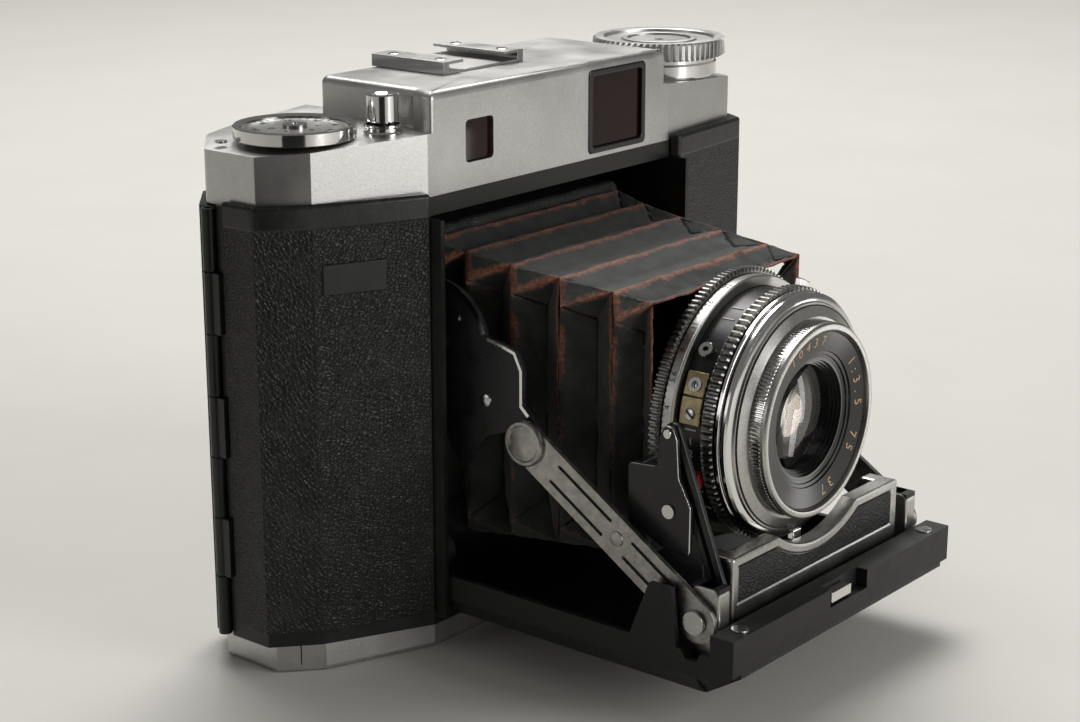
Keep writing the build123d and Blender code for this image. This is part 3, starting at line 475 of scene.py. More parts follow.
# The valleys between the ridges: their depth, and how far short of the corners they stop.
SIDE_SINK, SIDE_TUCK = 4.2, 7.5
TOP_SINK, TOP_TUCK = 2.0, 3.2
FLAP, FLAP_OUT, FLAP_BACK = 4.4, 3.3, -2.8   # the loose corner of each fold stands out a little
RIDGE_RUN, VALLEY_RUN = 5, 3                 # how far a flap bends its ridge and its valley
CLOTH_THICK, WRINKLE, COLLAR_WRINKLE = 0.35, 0.6, 0.35
COLLAR_BACK, COLLAR_HALF = 3.2, 31.2
# Each loop of the collar: its y, and how far it lies inside COLLAR_HALF.
COLLAR_LOOPS = [(COLLAR_BACK, 0.0), (0.0, 0.1), (-8.2, 0.6), (-9.6, 0.3), (-10.6, 0.2), (-11.3, 0.6),
                (-11.7, 1.4), (-11.4, 2.2), (-9.0, 2.6), (COLLAR_BACK, 2.4)]
WORN_REACH = 2.1       # how far the rubbed cloth spreads from a fold
SIDES = (-1, 1)
worn_edges = []


def sheet(bm, a, b, c, d, across, along):
    """A fine grid between four corners; c and d may coincide."""
    grid = []
    for t in range(along + 1):
        row = []
        for s in range(across + 1):
            point = a.lerp(b, s / across).lerp(d.lerp(c, s / across), t / along)
            row.append(bm.verts.new(point * MM))
        grid.append(row)
    for low, high in zip(grid, grid[1:]):
        for s in range(across):
            bm.faces.new((low[s], low[s + 1], high[s + 1], high[s]))


def pleat_side(bm, first, last, spin, deep):
    """One side of one pleat, drawn for the top and turned about the axis by spin quarter turns."""
    (y0, h0), (y1, h1) = first, last
    middle, half = (y0 + y1) / 2, (h0 + h1) / 2
    turn = math.radians(90 * spin)
    cosine, sine = math.cos(turn), math.sin(turn)

    def at(u, y, n):
        return Vector((u * cosine - n * sine, y, LENS_Z + u * sine + n * cosine))

    sink, tuck_in = (SIDE_SINK, SIDE_TUCK) if deep else (TOP_SINK, TOP_TUCK)
    valley, reach = half - sink, half - tuck_in
    starts, ends = [[at(side * h, y, h) for side in SIDES] for y, h in (first, last)]
    tucks = [at(side * reach, middle, valley) for side in SIDES]
    if deep:
        flaps = [at(side * (h0 - FLAP), y0 + FLAP_BACK, h0 + FLAP_OUT) for side in SIDES]
        for start, flap, tuck, end in zip(starts, flaps, tucks, ends):
            sheet(bm, start, flap, end, end, 8, 10)
            sheet(bm, flap, tuck, end, end, 8, 10)
            worn_edges.extend([(start, flap, 1.0), (flap, end, 1.0), (flap, tuck, 0.4), (end, tuck, 0.4)])
        inner = [at(side * (h0 - FLAP - RIDGE_RUN), y0, h0) for side in SIDES]
        bottoms = [at(side * (reach - VALLEY_RUN), middle, valley) for side in SIDES]
        sheet(bm, *inner, bottoms[1], bottoms[0], 32, 7)
        sheet(bm, flaps[0], inner[0], bottoms[0], tucks[0], 6, 7)
        sheet(bm, inner[1], flaps[1], tucks[1], bottoms[1], 6, 7)
    else:
        for start, tuck, end in zip(starts, tucks, ends):
            sheet(bm, start, tuck, end, end, 8, 8)
        sheet(bm, *starts, tucks[1], tucks[0], 40, 6)
    sheet(bm, *tucks, ends[1], ends[0], 40, 7 if deep else 6)
    worn_edges.extend([(*ridge, 1.0 if deep else 0.8) for ridge in (starts, ends)])


def bellows_cloth_mesh():
    bm = bmesh.new()
    for first, last in zip(RIDGES, RIDGES[1:]):
        for spin in range(4):
            pleat_side(bm, first, last, spin, spin % 2 == 1)
    bmesh.ops.remove_doubles(bm, verts=bm.verts[:], dist=0.05 * MM)
    bmesh.ops.recalc_face_normals(bm, faces=bm.faces[:])
    bm.normal_update()
    for v in bm.verts:
        wrinkle = noise.noise(v.co * 260) * 0.55 + noise.noise(v.co * 900) * 0.2
        v.co += v.normal * wrinkle * MM * WRINKLE
    return bm


def mark_wear(obj):
    """Stores, at each vertex, how near the cloth is to a fold, scaled down towards the bottom of the bellows.
    """
    layer = obj.data.attributes.new("fold_wear_fading_down", "FLOAT", "POINT")
    lines = [(a * MM, b * MM, strength) for a, b, strength in worn_edges]
    for v in obj.data.vertices:
        most = 0.0
        for a, b, strength in lines:
            along = b - a
            share = max(0.0, min(1.0, (v.co - a).dot(along) / along.length_squared))
            near = (v.co - a - along * share).length
            most = max(most, strength * (1.0 - near / (WORN_REACH * MM)))
        # The rubbed colour fades towards the bottom of the bellows.
        height = (v.co.z / MM - LENS_Z) / 26.0
        layer.data[v.index].value = most * max(0.35, min(1.0, 0.45 + 0.55 * height))


def squashed(obj):
    """Gives the object its own copy of its mesh."""
    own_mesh(obj)


pleats = bellows_cloth_mesh()
cloth = piece("bellows_pleats", pleats, CLOTH, "camera", ("bellows",), smooth=48)
mark_wear(cloth)
thick = cloth.modifiers.new("thickness", "SOLIDIFY")
thick.thickness = CLOTH_THICK * MM
thick.offset = -1.0
squashed(cloth)


def collar_mesh():
    """The stiff collar at the back of the bellows, rolled over at its front edge."""
    bm = bmesh.new()
    loops = []
    for y, sink in COLLAR_LOOPS:
        h = COLLAR_HALF - sink
        outline = rounded(rectangle((-h, LENS_Z - h), (h, LENS_Z + h)), 1.6, 4)
        dense = []
        for i, (x, z) in enumerate(outline):
            nx, nz = outline[(i + 1) % len(outline)]
            pieces = 12 if math.dist((x, z), (nx, nz)) > 10 else 1
            dense += [(x + (nx - x) * k / pieces, z + (nz - z) * k / pieces) for k in range(pieces)]
        loops.append([bm.verts.new(place("XZ", x, z, y)) for x, z in dense])
    skin(bm, loops, True)
    bm.normal_update()
    for v in bm.verts:
        v.co += v.normal * noise.noise(v.co * 140) * COLLAR_WRINKLE * MM
    return bm


squashed(piece("bellows_collar", collar_mesh(), COLLAR_CLOTH, "camera", (), smooth=50))


# ---- top cover ----
FRONT_Y = box_mm("top_cover")[0].y
COVER_BOTTOM, COVER_TOP = box_mm("top_cover")[0].z, box_mm("top_cover")[1].z
DECK_Z, DECK_FALL, DECK_INNER = 101.4, 0.065, 36.0
MIDDLE_Z, ROOM_Z, BLOCK_ROOM_Z, WINDOW_BACK = 100.6, 98.6, 106.9, -17.0
COVER_BACK = [(66.0, 8.8), (57.8, 17.0), (50.0, 18.6), (30.0, 18.6)]
COVER_LEFT = [(30.0, FRONT_Y), (37.2, FRONT_Y), (58.7, -11.0), (66.0, -4.1)] + COVER_BACK
COVER_RIGHT = [(30.0, FRONT_Y), (37.2, FRONT_Y), (63.2, -16.8), (66.0, -12.6)] + COVER_BACK
BLOCK = [(35.6, FRONT_Y), (35.6, 11.0), (-34.2, 11.0), (-34.6, -14.0), (-35.9, -17.2), (-36.5, FRONT_Y)]
BLOCK_EDGE = 1.5         # radius of the block's top edges
SMALL_WINDOW = ((-26.7, 94.4), (-18.7, 102.5))
FINDER = ((10.3, 90.4), (29.1, 107.3))
DIAL = (-51.8, -0.3)
BUTTON = (-40.0, -11.2)
KNOB = (51.9, -6.3)


def inset(points, depth):
    """A nearly convex outline moved inwards."""
    centre = sum((Vector(p) for p in points), Vector((0, 0))) / len(points)
    out = []
    for i, p in enumerate(points):
        here, normals = Vector(p), []
        for edge in (here - Vector(points[i - 1]), Vector(points[(i + 1) % len(points)]) - here):
            direction = edge.normalized()
            normal = Vector((-direction.y, direction.x))
            normals.append(normal if normal.dot(centre - here) > 0 else -normal)
        middle = normals[0] + normals[1]
        out.append(tuple(here + middle * depth / (1 + normals[0].dot(normals[1]))))
    return out


def stacked(layers):
    """A closed mesh through outlines of equal length, each at its own height."""
    bm = bmesh.new()
    return skin(bm, [[bm.verts.new(place("XY", x, y, z)) for x, y in outline] for outline, z in layers])


def deck(outline, side):
    """One low end of the cover, its top falling away from the raised block."""
    points = rounded([(side * x, y) for x, y in outline], [0.0, 0.6, 0.35, 0.35, 3.0, 4.0, 3.0, 0.0], 5)
    bm = prism(points, COVER_BOTTOM, DECK_Z)
    for v in bm.verts:
        if v.co.z > (COVER_BOTTOM + 2) * MM:
            v.co.z -= DECK_FALL * (abs(v.co.x) - DECK_INNER * MM)
    return bm


def raised_block():
    """The high middle of the cover, its top edges rounded."""
    base = rounded(BLOCK, [0.25, 2.0, 2.0, 1.0, 1.0, 1.4], 5)
    layers = [(base, COVER_BOTTOM)]
    for step in range(7):
        turn = math.radians(90 * step / 6)
        height = COVER_TOP - BLOCK_EDGE + BLOCK_EDGE * math.sin(turn)
        layers.append((inset(base, BLOCK_EDGE * (1 - math.cos(turn))), height))
    return stacked(layers)


def slot_cut(low, high, front, back, radius):
    return prism(rounded(rectangle(low, high), radius, 4), back, front, "XZ")


def rod(at, radius, low, high, steps=40):
    return prism(circle(at, radius, steps), low, high)


# The outside, then the room for the mechanism, then the openings.
ROOM = [(-64.4, 8.0), (-64.4, -3.2), (-58.0, -9.4), (-36.4, -18.2), (36.4, -18.2), (62.2, -15.2),
        (64.4, -12.0), (64.4, 8.0), (56.6, 15.2), (49.8, 16.8), (-49.8, 16.8), (-56.6, 15.2)]
BLOCK_ROOM = rectangle((-32.4, -18.2), (33.8, 9.2))
WHEEL_SLOT = rectangle((11.5, 14.0), (32.5, 24.0))
EYEPIECE = circle((19.7, 104.3), 2.85)
cover = piece("top_cover_shell", deck(COVER_LEFT, -1), SATIN, "camera", ("top_cover",))
boolean(cover, deck(COVER_RIGHT, 1), "UNION")
boolean(cover, prism(rectangle((-30.5, FRONT_Y), (30.5, 18.6)), COVER_BOTTOM, MIDDLE_Z), "UNION")
boolean(cover, raised_block(), "UNION")
boolean(cover, prism(ROOM, COVER_BOTTOM - 1, ROOM_Z), "DIFFERENCE")
boolean(cover, prism(BLOCK_ROOM, COVER_BOTTOM - 1, BLOCK_ROOM_Z), "DIFFERENCE")
boolean(cover, slot_cut(*SMALL_WINDOW, FRONT_Y - 1, WINDOW_BACK, 1.0), "DIFFERENCE")
boolean(cover, slot_cut(*FINDER, FRONT_Y - 1, WINDOW_BACK, 1.2), "DIFFERENCE")
for at, radius in ((BUTTON, 1.7), (KNOB, 3.35), (DIAL, 2.1)):
    boolean(cover, rod(at, radius, 97.0, 103.0), "DIFFERENCE")
boolean(cover, prism(WHEEL_SLOT, 92.2, 97.6), "DIFFERENCE")
boolean(cover, prism(EYEPIECE, 8.0, 12.0, "XZ"), "DIFFERENCE")
soften(cover, 0.28, smooth=30, limit=30)


def behind_front(low, high, radius, near, far, steps=5, holes=()):
    """A rounded plate from near to far mm behind the front of the cover."""
    return prism(rounded(rectangle(low, high), radius, steps), FRONT_Y + near, FRONT_Y + far, "XZ", holes)


# A dark well behind the small window, the rim of the finder, and the panes.
well = prism(rounded(rectangle((-27.8, 93.3), (-17.6, 103.6)), 0.8), -17.2, -18.15, "XZ")
piece("window_well", well, DARK, "camera", (), 0.1)
(left, low), (right, high) = FINDER
RIM = 1.3
opening = rounded(rectangle((left + RIM, low + RIM), (right - RIM, high - RIM)), 0.9, 4)
finder = behind_front(*FINDER, 1.2, -0.25, 1.3, 4, [opening[::-1]])
piece("finder_rim", finder, GLOSS_BLACK, "camera", ("finder_frame",), 0.3)
strip = behind_front((24.6, 91.8), (27.7, 105.9), 0.4, 1.1, 1.35)
piece("finder_strip", strip, GLOSS_BLACK, "camera", (), 0.05)
panes = joined(behind_front((11.6, 91.7), (27.8, 106.0), 0.9, 0.5, 1.0),
               behind_front((-26.6, 94.5), (-18.8, 102.4), 0.9, 0.8, 1.3))
piece("window_panes", panes, WINDOW, "camera", ("window_glass",), 0.05)

# Accessory shoe: two folded rails on a base plate, each held by two screws.
SHOE_Y = (-7.8, 11.0)


def shoe_rail(outer, inner, lip):
    """The folded section of one rail, as (x, z), run along the shoe."""
    fold = [(outer, 0.0), (outer, 2.5), (lip, 2.5), (lip, 1.9), (inner, 1.9), (inner, 0.6), (lip, 0.6),
            (lip, 0.0)]
    section = [(x, COVER_TOP + z) for x, z in fold]
    return prism(rounded(section, 0.12, 2), SHOE_Y[1], SHOE_Y[0], "XZ")


shoe = joined(shoe_rail(-19.4, -17.6, -13.6), shoe_rail(4.4, 2.6, -1.4),
              prism(rectangle((-13.8, SHOE_Y[0]), (-1.2, SHOE_Y[1])), COVER_TOP, COVER_TOP + 0.6))
piece("shoe_rails", shoe, SATIN, "camera", ("accessory_shoe",), 0.12, 2)


def screw_head(at, radius, base, height, slot_angle):
    """A domed head standing on +Z, and a block over its slot that is drawn dark as painted shade."""
    head = [(radius * math.cos(math.radians(t)), base + height * (0.45 + 0.55 * math.sin(math.radians(t))))
            for t in (0, 30, 55, 78)]
    bm = turned([(radius, base)] + head, at, "Z", 32, closed=False)
    direction = Vector((math.cos(slot_angle), math.sin(slot_angle)))
    across = Vector((-direction.y, direction.x)) * 0.16 * radius
    first, last = [Vector(at) + direction * 0.86 * radius * k for k in (-1, 1)]
    groove = [tuple(p) for p in (first - across, last - across, last + across, first + across)]
    return bm, prism(groove, base + height * 0.8, base + height * 1.02)


heads, grooves = [], []
for x in (-16.6, 1.6):
    for y in (-4.6, 7.6):
        head, groove = screw_head((x, y), 1.15, COVER_TOP + 2.4, 0.28, random.uniform(0, 3))
        heads.append(head)
        grooves.append(groove)
piece("shoe_screws", joined(*heads), CHROME, "camera", ())
# The slots are not cut: these dark blocks over them are painted shade.
piece("shoe_screw_slot_shade", joined(*grooves), DARK, "camera", ())


# ---- dial, button and knob ----
def lettering(text, size, matrix, thick=0.03):
    """Raised characters, drawn in the XY plane of the given matrix (mm)."""
    curve = bpy.data.curves.new("text", "FONT")
    curve.body = text
    curve.size = size
    curve.extrude = thick
    curve.align_x = "CENTER"
    curve.align_y = "CENTER"
    curve.resolution_u = 2
    obj = bpy.data.objects.new("text", curve)
    bpy.context.scene.collection.objects.link(obj)
    mesh = final_mesh(obj)
    bm = bmesh.new()
    bm.from_mesh(mesh)
    bpy.data.objects.remove(obj)
    bpy.data.curves.remove(curve)
    bpy.data.meshes.remove(mesh)
    bmesh.ops.transform(bm, matrix=Matrix.Scale(MM, 4) @ matrix, verts=bm.verts[:])
    return bm


def flat_at(x, y, z, turn):
    return Matrix.Translation((x, y, z)) @ Matrix.Rotation(math.radians(turn), 4, "Z")


def spun(points, centre, angle):
    """Points turned about the origin by an angle in radians, then moved to centre."""
    c, s = math.cos(angle), math.sin(angle)
    return [(centre[0] + u * c - v * s, centre[1] + u * s + v * c) for u, v in points]


DIAL_TOP = box_mm("reminder_dial")[1].z
SCALE_Z = DIAL_TOP - 0.7
dial_rim = turned([(9.9, 101.6), (9.9, DIAL_TOP - 0.4), (10.3, DIAL_TOP), (11.2, DIAL_TOP),
                   (11.4, DIAL_TOP - 0.2), (11.4, 100.9), (11.2, 100.7), (2.0, 100.7), (2.0, 101.6)],
                  DIAL, "Z", 160)
piece("dial_ring", dial_rim, CHROME, "reminder", ("reminder_dial",), smooth=25)
plate = turned([(1.6, 101.7), (9.85, 101.7), (9.85, SCALE_Z), (6.4, SCALE_Z), (1.6, SCALE_Z)], DIAL, "Z", 96)
piece("dial_plate", plate, RING_WORN, "reminder", (), smooth=25)
hub = turned([(2.3, DIAL_TOP - 0.75), (2.3, DIAL_TOP - 0.05), (2.0, DIAL_TOP), (0.6, DIAL_TOP),
              (0.5, DIAL_TOP - 0.3), (0.5, DIAL_TOP - 0.75)], DIAL, "Z", 48)
piece("dial_hub", hub, CHROME, "reminder", (), smooth=30)

marks = []
for i in range(36):
    a = math.radians(10 * i)
    centre = (DIAL[0] + 8.9 * math.cos(a), DIAL[1] + 8.9 * math.sin(a))
    reach, wide = (0.55, 0.13) if i % 3 == 0 else (0.35, 0.08)
    tick = spun([(reach, wide), (-reach, wide), (-reach, -wide), (reach, -wide)], centre, a)
    marks.append(prism(tick, SCALE_Z - 0.02, SCALE_Z + 0.04))
FILM_SPEEDS, FRAMES = ("10", "16", "25", "40", "64", "100", "160", "250"), ("2", "4", "6", "8", "10", "12")
for numbers, radius, first, step in ((FILM_SPEEDS, 7.4, 100, 44), (FRAMES, 4.3, 90, 60)):
    for i, number in enumerate(numbers):
        a = math.radians(first - step * i)
        x, y = DIAL[0] + radius * math.cos(a), DIAL[1] + radius * math.sin(a)
        marks.append(lettering(number, 1.7, flat_at(x, y, SCALE_Z, math.degrees(a) - 90)))
piece("dial_marks", joined(*marks), DARK, "reminder", ())

BUTTON_TOP = box_mm("shutter_button")[1].z
button = turned([(0.95, BUTTON_TOP - 3.6), (0.95, BUTTON_TOP - 0.5), (1.7, BUTTON_TOP - 0.1),
                 (2.0, BUTTON_TOP), (2.75, BUTTON_TOP), (3.0, BUTTON_TOP - 0.25), (3.0, 103.5), (2.9, 103.4),
                 (1.5, 103.4), (1.5, 96.0), (0.6, 96.0), (0.6, BUTTON_TOP - 3.6)], BUTTON, "Z", 96)
piece("release_button", button, CHROME, "button", ("shutter_button",), smooth=22)
# The floor of the collar lies low enough for the pressed button.
collar = turned([(1.65, 99.9), (3.55, 99.9), (3.6, 101.3), (3.35, 101.6), (3.35, 102.2), (3.6, 102.5),
                 (3.55, 102.8), (3.15, 102.75), (3.1, 101.2), (1.65, 101.15)], BUTTON, "Z", 96)
piece("release_collar", collar, CHROME, "camera", ("button_collar",), smooth=22)

KNOB_TOP = box_mm("advance_knob")[1].z
drum = turned([(3.2, 94.6), (3.2, 100.9), (12.2, 100.9), (12.4, 101.2), (12.4, 103.6), (12.0, 104.0),
               (12.0, 105.0), (1.0, 105.0), (1.0, 94.6)], KNOB, "Z", 128)
piece("knob_drum", drum, CHROME, "winder", ("advance_knob",), smooth=30)
face = [(13.8, 0.0), (12.0, 0.0), (11.7, 0.2), (11.6, 0.7), (8.2, 0.7), (8.0, 0.35), (7.4, 0.2), (6.8, 0.35),
        (6.6, 0.8), (1.0, 0.8)]
rim = [(11.5, 104.9), (13.6, 104.9), (14.25, 105.35), (14.25, KNOB_TOP - 0.45)]
rim += [(radius, KNOB_TOP - sink) for radius, sink in face] + [(1.0, 104.9)]
knurled = turned(rim, KNOB, "Z", teeth=64, depth=0.75, toothed=(2, 3))
piece("knob_rim", knurled, SATIN, "winder", (), smooth=32)


# ---- lens and shutter ----
AXIS = (0.0, LENS_Z)


def ring(profile, **options):
    """A ring round the lens axis, from (radius, y) points."""
    return turned(profile, AXIS, "Y", **options)


def sector(outer, inner, start, end, steps=10):
    """A stretch of a flat ring round the lens axis, as (x, z)."""
    return arc(AXIS, outer, start, end, steps) + arc(AXIS, inner, end, start, steps)


def around(angle, radius, y, upright=False):
    """A frame whose normal points away from the lens axis; its text runs round it or stands up."""
    turn = math.radians(angle)
    normal = Vector((math.cos(turn), 0, math.sin(turn)))
    right = Vector((0, -1, 0)) if upright else Vector((math.sin(turn), 0, -math.cos(turn)))
    up = normal.cross(right)
    matrix = Matrix((right, up, normal)).transposed().to_4x4()
    return Matrix.Translation(normal * radius + Vector((0, y, LENS_Z))) @ matrix


def facing(angle, radius, y):
    """A frame that looks along the lens axis, its up pointing away from the axis."""
    turn = math.radians(angle)
    up = Vector((math.cos(turn), 0, math.sin(turn)))
    normal = Vector((0, -1, 0))
    matrix = Matrix((up.cross(normal), up, normal)).transposed().to_4x4()
    return Matrix.Translation(up * radius + Vector((0, y, LENS_Z))) @ matrix


def moved(bm, matrix):
    """A mesh made at the origin in metres, moved by a matrix in millimetres."""
    bmesh.ops.transform(bm, matrix=Matrix.Scale(MM, 4) @ matrix @ Matrix.Scale(1 / MM, 4), verts=bm.verts[:])
    return bm


def lens_ring(name, material, profile, nodes=(), slot="polished_chrome", body="standard", smooth=20, **teeth):
    """One ring of the shutter or lens, plain or knurled."""
    piece(name, ring(profile, **teeth), material, body, nodes, smooth=smooth)


# The board: a knurled plate with a flange bent forward at the left.
board = ring([(13.4, -62.0), (25.0, -62.0), (25.0, -64.0), (13.4, -64.0)])
flange = [(-64.0, 34.0), (-71.0, 31.0), (-75.8, 31.0), (-75.8, 40.0), (-73.1, 45.0), (-72.6, 52.0),
          (-71.6, 54.4), (-69.8, 54.4), (-68.8, 52.0), (-68.4, 46.5), (-62.0, 46.0), (-62.0, 34.0)]
plate = prism(rounded(flange, 0.9, 3), -31.5, -30.5, "YZ")
web = prism([(-31.4, 34.2), (-31.4, 45.8), (-22.0, 45.8), (-22.0, 34.2)], -63.9, -62.2, "XZ")
piece("standard_board", joined(board, plate, web), [PAINT_METAL, BARE], "standard", ("lens_standard",),
      0.16, 2, rim=1)
lens_ring("board_knurl", RING_WORN, [(24.9, -62.05), (25.6, -62.05), (26.0, -62.3), (26.0, -63.7),
          (25.6, -64.1), (24.9, -64.1)], slot="black_metal", teeth=132, depth=0.5, toothed=(1, 2, 3, 4))

# The aperture band, the shutter housing with its figures, and its small fittings.
lens_ring("aperture_band", RING_SATIN, [(22.9, -64.2), (24.6, -64.2), (24.8, -64.35), (24.8, -66.1),
          (24.65, -66.2), (24.65, -66.35), (24.8, -66.42), (24.6, -66.6), (22.9, -66.6)],
          ("aperture_ring",), body="apertures", smooth=25)
STOPS = (("22", 104), ("16", 118), ("11", 131), ("8", 143), ("5.6", 155), ("4", 168), ("3.5", 181))
figures = [lettering(text, 1.7, around(angle, 24.8, -65.2)) for text, angle in STOPS]
piece("aperture_figures", joined(*figures), DARK, "apertures", ())
SPEEDS = (("1", 182), ("2", 188), ("5", 214))
figures = [lettering(text, 2.0, around(angle, 22.82, -69.4, True)) for text, angle in SPEEDS]
figures += [prism(sector(22.95, 22.7, a, a + 0.7, 1), -68.2, -70.6, "XZ") for a in (176, 208, 220, 120, 112)]
piece("housing_figures", joined(*figures), WHITE, "standard", ())

FITTING_Y = -69.4
brass = [prism(sector(23.6, 22.6, a, b), -67.2, -71.6, "XZ") for a, b in ((150, 161), (161.6, 174))]
piece("brass_plate", joined(*brass), BRASS, "standard", (), 0.15, 2)
heads, grooves = [], []
for angle, radius, slot_angle in ((169, 1.15, 0.9), (156, 0.75, 0.2)):
    head, groove = screw_head((0, 0), radius, 0.0, 0.3, slot_angle)
    heads.append(moved(head, around(angle, 23.55, FITTING_Y)))
    grooves.append(moved(groove, around(angle, 23.55, FITTING_Y)))
washer = turned([(0.7, 0), (1.35, 0), (1.35, 0.35), (0.7, 0.35)], (0, 0), "Z", 40)
heads.append(moved(washer, around(156, 23.5, FITTING_Y)))
piece("housing_screws", joined(*heads), STEEL, "standard", ())
# The slots are not cut: these dark blocks over them are painted shade.
piece("housing_screw_slot_shade", joined(*grooves), DARK, "standard", ())
knob = turned([(0.5, 0.35), (0.5, 1.25), (0.8, 1.3), (1.3, 1.3), (1.5, 1.1), (1.5, 0.3), (1.2, 0.0),
               (0.5, 0.0)], (0, 0), "Z", teeth=26, depth=0.16, toothed=(4, 5))
piece("sync_knob", moved(knob, around(140, 23.2, FITTING_Y)), CHROME, "sync", ("sync_switch",),
      smooth=30)

# From the speed ring to the bezel, each ring in front of the last.
lens_ring("speed_knurl", RING_WORN, [(14.8, -72.1), (23.5, -72.1), (24.0, -72.4), (24.0, -74.3),
          (23.5, -74.6), (14.8, -74.6)], ("speed_ring",), body="speeds", teeth=104, depth=0.8,
          toothed=(2, 3))
lens_ring("face_flanges", CHROME, [(14.5, -74.8), (22.6, -74.8), (23.4, -75.0), (23.4, -75.6),
          (22.9, -75.85), (22.3, -75.9), (22.3, -76.1), (23.0, -76.2), (23.2, -76.4), (23.2, -76.9),
          (22.8, -77.3), (22.0, -77.6), (14.5, -77.6)], ("face_ring",), smooth=24)
lens_ring("face_groove", DARK, [(21.9, -75.7), (22.42, -75.7), (22.42, -76.3), (21.9, -76.3)],
          slot="black_metal", smooth=35)
lens_ring("front_cone", RING_SATIN, [(11.4, -71.9), (13.3, -72.0), (13.3, -74.8), (14.4, -74.8),
          (14.4, -77.5), (21.6, -77.5), (21.7, -77.7), (21.5, -78.0), (21.0, -78.1), (20.9, -78.3),
          (19.0, -79.0), (11.4, -79.0)], ("lens_tube",))
lens_ring("cone_groove", DARK, [(20.7, -78.05), (21.15, -78.05), (21.15, -78.28), (20.7, -78.28)],
          slot="black_metal", smooth=35)
lens_ring("bezel_knurl", CHROME, [(16.9, -79.0), (18.2, -79.0), (18.5, -79.3), (18.5, -81.2), (18.2, -81.4),
          (16.9, -81.4)], ("bezel",), teeth=150, depth=0.4, toothed=(2, 3))
lens_ring("bezel_lip", RING_SATIN, [(16.9, -81.3), (18.15, -81.3), (18.45, -81.5), (18.45, -82.0),
          (18.1, -82.4), (17.6, -82.5), (17.15, -82.4), (16.95, -82.0)], smooth=30)
lens_ring("name_dish", GLOSS_BLACK, [(11.6, -79.2), (16.9, -79.0), (16.9, -81.5), (16.6, -81.6),
          (13.0, -80.9), (12.9, -80.6), (12.3, -80.5), (12.2, -80.2), (11.6, -80.1)], ("name_ring",),
          slot="black_metal")

# Figures on the dish, which slants towards the glass.
SLANT = math.degrees(math.atan2(0.7, 3.6))
figures = []
for text, start, step in (("1:3.5", 36, -9.0), ("75", -24, -10.0), ("10437", 122, -10.0), ("37", -66, -10.0)):
    for k, letter in enumerate(text):
        stand = facing(start + step * k, 14.85, -81.27) @ Matrix.Rotation(math.radians(SLANT), 4, "X")
        figures.append(lettering(letter, 2.7, stand))
piece("name_figures", joined(*figures), GOLD, "standard", ())
lens_ring("glass_baffles", GLOSS_BLACK, [(11.6, -80.05), (11.1, -80.0), (11.1, -79.4), (10.7, -79.4),
          (10.7, -78.8), (10.35, -78.8), (10.35, -78.2), (10.0, -78.2), (10.0, -75.0), (11.38, -75.0),
          (11.38, -79.2), (11.6, -79.2)], slot="black_metal")


def dome(radius, back, edge, apex):
    """A convex lens; apex is its foremost point."""
    sag = edge - apex
    curve = (radius ** 2 + sag ** 2) / (2 * sag)
    profile = [(0.02, back), (radius, back)]
    for step in range(17):
        r = radius * (1 - step / 16) + 0.02
        profile.append((r, apex + curve - math.sqrt(curve ** 2 - r ** 2)))
    return ring(profile, segments=96, closed=False)


GLASSES = (("front_glass", dome(10.0, -75.2, -76.4, -78.5), LENS, ("front_element",)),
           ("inner_glass", dome(9.9, -71.6, -72.0, -74.9), COATING, ()))
for name, glass_mesh, material, nodes in GLASSES:
    piece(name, glass_mesh, material, "standard", nodes, smooth=50)

# ---- folding gear ----
LINK_PIVOT, KNUCKLE, STRUT_PIVOT = (-18.0, 61.0), (-41.0, 46.0), (-80.0, 20.9)
STRUT_MIDDLE = (-62.3, 32.3)
LINK_FACE, STRUT_FACE = 33.1, 35.1        # distance of the outer faces from the lens axis
link_edge = arc(LINK_PIVOT, 12.25, 92, 166, 14)
link_corners = [(-33.6, 63.3), (-37.3, 62.4), (-38.8, 59.0), (-38.8, 52.0), (-44.8, 46.6), (-41.5, 41.9),
                (-36.0, 46.8), (-30.0, 44.6), (-23.7, 36.8), (-15.2, 50.0), (-13.3, 61.0)]
link_edge += rounded(link_corners, [0.5, 1.5, 2.5, 1.0, 2.6, 1.6, 2.0, 2.5, 0.8, 3.0, 3.0], 4)
link_hole = circle(LINK_PIVOT, 1.3, 32)
plates = [prism(link_edge, low, low + 0.9, "YZ", [link_hole]) for low in (-33.1, 32.2)]
piece("link_plates", joined(*plates), [PAINT_METAL, BARE], "links", ("upper_links",), 0.34,
      rim=1)
trim = arc(LINK_PIVOT, 12.2, 96, 164, 18) + arc(LINK_PIVOT, 11.1, 164, 96, 18)
lobe = [(-30.2, 63.8), (-33.6, 63.1), (-36.9, 62.2), (-38.6, 58.9), (-38.6, 52.2), (-44.4, 46.8),
        (-44.0, 46.3), (-38.0, 51.8), (-38.0, 58.7), (-36.5, 61.7), (-33.5, 62.5), (-30.1, 63.2)]
strips = [prism(outline, side * 33.05, side * 33.2, "YZ") for side in (-1, 1) for outline in (trim, lobe)]
piece("link_trim", joined(*strips), CHROME, "links", ())


def standing(profile, side, face, at, segments):
    """A round boss on the outer face of a link or strut; profile is (radius, height over the face)."""
    points = [(radius, side * (face + height)) for radius, height in profile]
    return turned(points, at, "X", segments, closed=False)


rivets = []
for side in (-1, 1):
    for at, radius in (((-29.8, 51.6), 1.3), ((-23.0, 66.4), 0.8)):
        head = [(radius, 0.0), (radius * 0.92, 0.3), (radius * 0.5, 0.5), (0.02, 0.55)]
        rivets.append(standing(head, side, LINK_FACE, at, 32))
piece("link_rivets", joined(*rivets), STEEL, "links", ())

